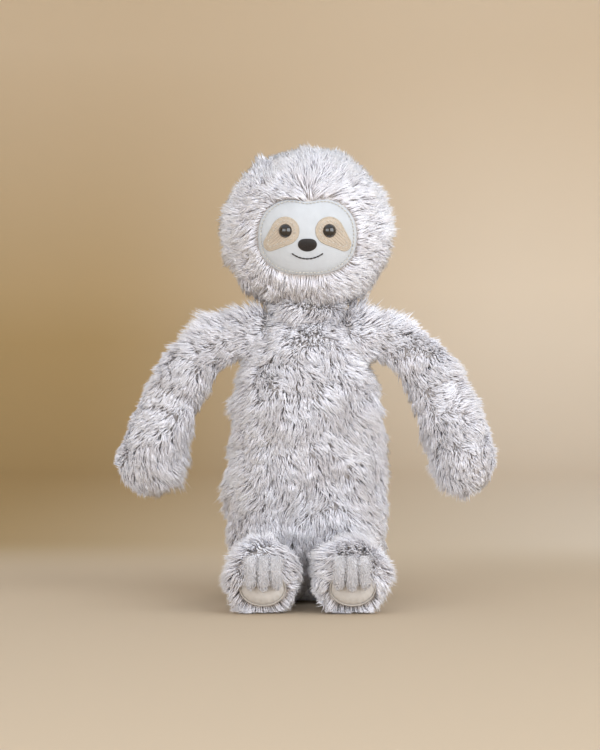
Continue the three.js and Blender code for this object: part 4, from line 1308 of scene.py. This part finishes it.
class PLUSH_OT_head(bpy.types.Operator):
    """Make the head's stuffed skin and its fur, parted round the mask"""

    bl_idname = "plush.head"
    bl_label = "Head"

    def execute(self, context):
        settings = context.scene.plush_fur
        nodes = ("head_cover", "head_filling")
        add_skin("head_skin", "head", head_form, settings, nodes, around=96, along=64)
        add_fur("head_fur", "head", head_form, settings, 1, settings.head_length, self.style, self.half)
        return {"FINISHED"}

    def style(self, roots, normals, length, random):
        """Combed away from the face and down, shorter at the mask's rim, longer below, upright on top."""
        bare_neck, far_level, rim_level = 14 * MM, 9, 0.985
        front = roots[:, 1] < HEAD_CENTRE[1]
        level = np.where(front, mask_level(roots[:, 0], roots[:, 2]), far_level)
        keep = (level > rim_level) & apart(roots, "head_turn", bare_neck)
        roots, normals, level = roots[keep], normals[keep], level[keep]
        crown = smooth(roots[:, 2], HEAD_CENTRE[2] + 20 * MM, HEAD_CENTRE[2] + 70 * MM)
        away = unit(roots - np.array([0, -90 * MM, FACE_Z]))
        comb = along_skin(away + np.array([0, 0, -0.55]) * (1 - crown)[:, None], normals)
        rim = 1 - smooth(level, 1.0, 1.25)
        forward = 1 - smooth(normals[:, 1], -0.1, 0.5)
        outer = 0.55 * smooth(np.abs(normals[:, 0]), 0.6, 1) + 0.5 * crown * forward
        low = 1 - smooth(roots[:, 2], HEAD_CENTRE[2] - 65 * MM, HEAD_CENTRE[2] - 20 * MM)
        length = length * (1 - 0.22 * rim) * (1 + 0.3 * low)
        return roots, normals, comb, length, np.clip(outer + 0.4 * rim, 0, 0.7)

    def half(self, roots):
        """The front half of the head or the back half."""
        return (roots[:, 1] > HEAD_CENTRE[1]).astype(int)


class PLUSH_OT_arms(bpy.types.Operator):
    """Make both arms' stuffed skins and their fur, combed to the hands"""

    bl_idname = "plush.arms"
    bl_label = "Arms"

    def execute(self, context):
        settings = context.scene.plush_fur
        for number, side in enumerate(SIDES):
            limb, body = arm(side), f"{side}_arm"
            nodes = (f"arm_cover_{side}", f"arm_filling_{side}")
            add_skin(f"arm_skin_{side}", body, limb.form, settings, nodes, around=48, along=90)
            style = self.style(limb, SIDES[side])
            add_fur(f"arm_fur_{side}", body, limb.form, settings, 2 + number, settings.arm_length, style)
        return {"FINISHED"}

    def style(self, limb, sign):
        """Combed along the arm and a little down, upright and long on the shoulder, shorter on the flanks."""
        hidden_root = 12 * MM

        def style(roots, normals, length, random):
            owner = nearest(roots, limb.line)
            keep = np.sum((roots - limb.line[0]) * limb.ways[0], axis=1) > -hidden_root
            roots, normals, owner = roots[keep], normals[keep], owner[keep]
            distance = limb.distances[owner]
            comb = along_skin(limb.ways[owner] + np.array([0, 0, -0.25]), normals)
            near_root = 1 - smooth(distance, 15 * MM, 55 * MM)
            on_top = near_root * np.clip(normals[:, 2] * 1.3, 0, 1)
            outward = normals[:, 0] * sign * smooth(distance, 70 * MM, 120 * MM)
            flank = np.where(outward > 0, -0.35, -0.2) * outward
            length = length * (1 - 0.1 * near_root + 0.4 * on_top + flank)
            return roots, normals, comb, length, 0.28 + 0.4 * on_top

        return style


class PLUSH_OT_legs(bpy.types.Operator):
    """Make both legs' stuffed skins and their fur, parted on the soles"""

    bl_idname = "plush.legs"
    bl_label = "Legs"

    def execute(self, context):
        settings = context.scene.plush_fur
        for number, side in enumerate(SIDES):
            limb, body = leg(side), f"{side}_leg"
            nodes = (f"leg_cover_{side}", f"leg_filling_{side}")
            add_skin(f"leg_skin_{side}", body, limb.form, settings, nodes, around=56, along=80)
            long, style = settings.leg_length, self.style(limb)
            add_fur(f"leg_fur_{side}", body, limb.form, settings, 4 + number, long, style, on_floor=True)
        return {"FINISHED"}

    def style(self, limb):
        """Combed along the leg, and on the foot's front outward from its middle, but down over the claws."""
        hidden_root, foot_middle = 22 * MM, 36 * MM
        foot_x, foot_y, _ = limb.line[-1]
        way = limb.ways[0]

        def style(roots, normals, length, random):
            run = np.sum((roots - limb.line[0]) * way, axis=1)
            x, z = roots[:, 0] - foot_x, roots[:, 2]
            on_pad = (x / PAD_HALF[0]) ** 2 + ((z - PAD_Z) / PAD_HALF[1]) ** 2 < 1
            keep = (run > -hidden_root) & ~((run > limb.length) & on_pad)
            roots, normals, run, x, z = roots[keep], normals[keep], run[keep], x[keep], z[keep]
            radial = (roots - np.array([foot_x, foot_y, foot_middle])) * [1, 0, 1]
            front = smooth(run, limb.length - 12 * MM, limb.length + 8 * MM)
            over_pad = np.exp(-((x / (22 * MM)) ** 4)) * smooth(z, 10 * MM, 24 * MM)
            hang = (over_pad * (1 - 0.7 * smooth(z, 62 * MM, 72 * MM)))[:, None]
            drooping = smooth(z, PAD_Z, PAD_Z + 20 * MM)[:, None] * np.array([0, 0, -0.7])
            radial = (unit(radial) + drooping) * (1 - hang) + np.array([0, -0.3, -1.0]) * hang
            comb = along_skin(way * (1 - front[:, None]) + radial * front[:, None], normals)
            above_claws = over_pad * smooth(z, CLAW_ROOT_Z - 4 * MM, CLAW_ROOT_Z + 3 * MM) * front
            between = over_pad * front * (1 - smooth(z, CLAW_ROOT_Z - 9 * MM, CLAW_ROOT_Z - 4 * MM))
            below_pad = front * (1 - smooth(z, 9 * MM, 16 * MM))
            length = length * (1 + 0.2 * above_claws - 0.3 * between)
            return roots, normals, comb, length, 0.2 + 0.35 * above_claws + 0.35 * below_pad

        return style


class PLUSH_OT_mask(bpy.types.Operator):
    """Make the mask, puckered at its rim, and the row of stitches that holds it"""

    bl_idname = "plush.mask"
    bl_label = "Mask"

    def execute(self, context):
        settings = context.scene.plush_face
        puckers, rim_share, count = 52, 0.94, 312
        outline = mask_outline(count)
        turn = full_turn(count)

        def pucker(x, z, share):
            """A wave round the rim that fades to both sides of the stitches."""
            gathered_edge = np.exp(-(((share - rim_share) / 0.035) ** 2))
            wave = 0.5 + 0.5 * np.cos(puckers * turn)
            return gathered_edge * (0.45 + 0.5 * wave) * MM

        rim, puff = level_rim(MASK_INSET), settings.mask_puff
        shape = cloth_patch(head_front, outline, rim, MASK_THICKNESS, puff, pucker, steps=44)
        colour = settings.mask_colour
        dark, finish = dimmed(colour, 0.86), {"roughness": 0.85, "sheen": 0.4}
        short_pile = cloth("short_pile", dark, colour, coarse=90, fine=2200, **finish)
        add_piece("face_mask", shape, "head", "face_fabric", short_pile, "face_panel")
        middle = np.array([0, FACE_Z])
        row = middle + (outline - middle) * rim_share
        inset = under(face_inset, 0.1 * MM)
        shape = stitches(head_front, row, inset, count=74, fill=0.74, radius=0.55 * MM)
        pale = thread("pale_thread", settings.stitch_colour)
        add_piece("mask_stitches", shape, "head", "thread", pale, "face_edge_stitch")
        return {"FINISHED"}


class PLUSH_OT_eyes(bpy.types.Operator):
    """Make the felt patches with their sewn edges, the eyes, and a finish for their washers"""

    bl_idname = "plush.eyes"
    bl_label = "Eyes and patches"

    def execute(self, context):
        settings = context.scene.plush_face
        colour = settings.patch_colour
        felt = cloth("patch_felt", dimmed(colour, 0.72), colour, coarse=160, fine=1900, roughness=0.92)
        edge_thread = thread("patch_thread", settings.patch_thread_colour)
        pale = thread("pale_thread", settings.stitch_colour)
        polished = gloss("eye_gloss", settings.eye_colour)
        finish = {"roughness": 0.45, "sheen": 0, "bump": 0.03 * MM}
        plastic = cloth("washer_plastic_white", *WASHER_COLOURS, coarse=90, fine=700, **finish)
        for side, sign in SIDES.items():
            add_piece(f"eye_felt_{side}", self.patch(sign), "head", "patch_fabric", felt, f"eye_patch_{side}")
            outline = patch_outline(sign, 0.5 * MM, 720)
            inset = under(face_inset, 0.1 * MM)
            shape = edging(head_front, outline, inset, half_width=1.2 * MM, height=1.15 * MM, ribs=180)
            node = f"eye_patch_edge_{side}"
            add_piece(f"eye_felt_edge_{side}", shape, "head", "thread", edge_thread, node)
            row = patch_outline(sign, -2.6 * MM, 300)
            inset = under(face_inset, -1.15 * MM)
            shape = stitches(head_front, row, inset, count=22, fill=0.6, radius=0.4 * MM)
            add_piece(f"eye_felt_stitches_{side}", shape, "head", "thread", pale)
            add_piece(f"eye_button_{side}", self.eye(sign), "head", "eye_plastic", polished, f"eye_{side}")
            washer = frame["nodes"][f"eye_washer_{side}"]
            washer.data.materials.clear()
            washer.data.materials.append(plastic)
        return {"FINISHED"}

    def patch(self, sign):
        """Felt with channels sewn along its length: shallow grooves an even way apart."""
        spacing, depth = 2.4 * MM, 0.55 * MM
        along = np.array([sign * math.cos(PATCH_SLOPE), -math.sin(PATCH_SLOPE)])
        large = np.array([sign * EYE_X, FACE_Z + EYE_Z])

        def channels(x, z, share):
            off = (x - large[0]) * along[1] - (z - large[1]) * along[0]
            groove = np.cos(np.pi * off / spacing) ** 8
            return depth * groove * smooth(1 - share, 0.1, 0.25)

        outline, raised = patch_outline(sign, 0, 260), under(face_inset, -1.0 * MM)
        sizes = {"thickness": 1.4 * MM, "puff": 0.35 * MM, "steps": 56}
        return cloth_patch(head_front, outline, raised, relief=channels, **sizes)

    def eye(self, sign):
        """A dome with a rolled rim on a post, turned about the way the head faces there."""
        x, z = np.array([sign * EYE_X]), np.array([FACE_Z + EYE_Z])
        place, facing = head_front(x, z, face_inset(x, z) - 1.1 * MM)
        dome = (EYE_RADIUS**2 + EYE_HEIGHT**2) / (2 * EYE_HEIGHT)
        reach = math.asin(EYE_RADIUS / dome)
        angle = np.linspace(reach, 0, 22)
        front = np.stack([dome * np.sin(angle), EYE_HEIGHT - dome + dome * np.cos(angle)], axis=-1)
        back = np.array([[0, -13], [1.8, -13], [1.8, -0.6], [6.1, -0.6], [6.55, -0.3]]) * MM
        return turned(np.concatenate([back, front]), place[0], facing[0], around=48)


class PLUSH_OT_nose_and_mouth(bpy.types.Operator):
    """Make the embroidered nose and mouth"""

    bl_idname = "plush.nose_and_mouth"
    bl_label = "Nose and mouth"

    def execute(self, context):
        dark = thread("dark_thread", context.scene.plush_face.thread_colour)
        add_piece("nose_embroidery", self.nose(), "head", "thread", dark, "nose")
        angle = np.linspace(-MOUTH_HALF_ANGLE, MOUTH_HALF_ANGLE, 80)
        x, z = MOUTH_RADIUS * np.sin(angle), FACE_Z + MOUTH_Z - MOUTH_RADIUS * np.cos(angle)
        places, inset = np.stack([x, z], axis=-1), under(face_inset, 0.05 * MM)
        shape = stitches(head_front, places, inset, count=9, fill=1.04, radius=0.75 * MM, closed=False)
        add_piece("mouth_embroidery", shape, "head", "thread", dark, "mouth")
        return {"FINISHED"}

    def nose(self):
        """Upright threads laid side by side: a thread's length and height follow a rounded nose, and each
        is a ridge. The rings run from side to side, round the threads' section."""
        threads, ridge_depth, rise = 14, 0.14, 2.3 * MM
        across = np.linspace(-1, 1, 217)[:, None]
        turn = full_turn(36)
        upper = np.cos(turn) > 0
        high = NOSE_HALF[1] * np.where(upper, 0.92, 1.08)
        chord = (1 - np.abs(across) ** np.where(upper, 3.2, 1.9)) ** 0.5
        x = np.broadcast_to(NOSE_HALF[0] * across, chord.shape)
        z = FACE_Z + NOSE_Z + high * np.cos(turn) * chord
        ridge = 1 - ridge_depth * np.cos(np.pi * across * threads) ** 6
        rise = rise * np.sqrt(1 - across**2) ** 0.8 * ridge
        rise = rise * np.where(np.sin(turn) > 0, np.abs(np.sin(turn)) ** 0.8, 0.5 * np.sin(turn))
        points, _ = head_front(x, z, face_inset(x, z) - rise)
        return closed_rings(points[1:-1], points[0].mean(axis=0), points[-1].mean(axis=0))


class PLUSH_OT_feet(bpy.types.Operator):
    """Make the sole pads with their sewn edges and the claws with their nap"""

    bl_idname = "plush.feet"
    bl_label = "Soles and claws"

    def execute(self, context):
        settings = context.scene.plush_foot
        pad, claw = settings.pad_colour, settings.claw_colour
        suede = cloth("pad_suede", dimmed(pad, 0.8), pad, coarse=140, fine=2600)
        wool = cloth("boiled_wool", dimmed(claw, 0.84), claw, coarse=180, fine=1700)
        edge = thread("edge_thread", settings.pad_edge_colour)
        rim = level_rim(4.0 * MM)
        for side, sign in SIDES.items():
            foot, body = leg(side), f"{side}_leg"
            front = partial(foot_front, foot)
            middle = (0, PAD_Z - foot.line[-1][2])
            outline = oval(middle, PAD_HALF, 160)
            shape = cloth_patch(front, outline, rim, 3 * MM, puff=1.8 * MM, relief=self.wrinkles)
            add_piece(f"sole_suede_{side}", shape, body, "pad_fabric", suede, f"sole_pad_{side}")
            outline = oval(middle, PAD_HALF, 600, grown=0.4 * MM)
            shape = edging(front, outline, rim, half_width=1.1 * MM, height=1.1 * MM, ribs=150)
            add_piece(f"sole_edge_{side}", shape, body, "thread", edge, f"sole_pad_edge_{side}")
            for place in range(3):
                label = f"{side}_{place + 1}"
                form = claw_form(foot, (place - 1) * sign)
                shape = shell(form, inset=0, around=24, along=30)
                add_piece(f"claw_{label}", shape, body, "claw_felt", wool, f"foot_claw_{label}")
                self.nap(context, label, body, form, place)
        return {"FINISHED"}

    def nap(self, context, label, body, form, place):
        """The claw's short pile, combed to its tip."""
        settings = context.scene.plush_foot
        random = np.random.default_rng(context.scene.plush_fur.seed + 30 + place)
        roots, normals = scatter_roots(form, 0.4 * MM, settings.nap_pitch, random, relief=None)
        comb = along_skin(np.tile([0.0, -0.1, -1.0], (len(roots), 1)), normals)
        paths = brushed(roots, normals, comb, settings.nap_length, random)
        tone = 0.1 + 0.8 * random.random(len(roots))
        shape = strands(paths, normals, tone, settings.nap_width, random)
        colour = np.array(settings.claw_colour)
        shades = (tuple(colour * 0.85), tuple(colour), tuple(np.minimum(colour * 1.08, 1)))
        nap = pile("wool_nap", *shades, (0.9, 0.9, 0.91), (1, 1, 1))
        add_piece(f"claw_nap_{label}", shape, body, "claw_felt", nap)

    def wrinkles(self, x, z, share):
        """Faint gathers that fade in from the sewn edge."""
        folds, depth = 26, 0.25 * MM
        return depth * np.cos(folds * np.arctan2(z, x)) * smooth(share, 0.6, 0.95)


class PLUSH_PT_panel(bpy.types.Panel):
    """Lists the makers of the plush sloth's pieces"""

    bl_idname = "PLUSH_PT_panel"
    bl_label = "Plush sloth"
    bl_space_type = "VIEW_3D"
    bl_region_type = "UI"
    bl_category = "Plush sloth"

    def draw(self, context):
        for operator in OPERATORS:
            self.layout.operator(operator.bl_idname)


SETTINGS = {
    "plush_fur": FurSettings,
    "plush_face": FaceSettings,
    "plush_foot": FootSettings,
    "plush_studio": StudioSettings,
}
OPERATORS = (
    PLUSH_OT_studio,
    PLUSH_OT_torso,
    PLUSH_OT_closing_seam,
    PLUSH_OT_gathers,
    PLUSH_OT_head,
    PLUSH_OT_mask,
    PLUSH_OT_eyes,
    PLUSH_OT_nose_and_mouth,
    PLUSH_OT_arms,
    PLUSH_OT_legs,
    PLUSH_OT_feet,
)


def register():
    """Makes the settings, the operators and the panel known to Blender."""
    for made in (*SETTINGS.values(), *OPERATORS, PLUSH_PT_panel):
        bpy.utils.register_class(made)
    for name, made in SETTINGS.items():
        setattr(bpy.types.Scene, name, bpy.props.PointerProperty(type=made))


def unregister():
    """Takes them out again."""
    for name in SETTINGS:
        delattr(bpy.types.Scene, name)
    for made in (PLUSH_PT_panel, *reversed(OPERATORS), *reversed(SETTINGS.values())):
        bpy.utils.unregister_class(made)


def main():
    """Makes the whole toy and its studio."""
    register()
    for operator in OPERATORS:
        group, name = operator.bl_idname.split(".")
        getattr(getattr(bpy.ops, group), name)()


if __name__ == "__main__":
    main()
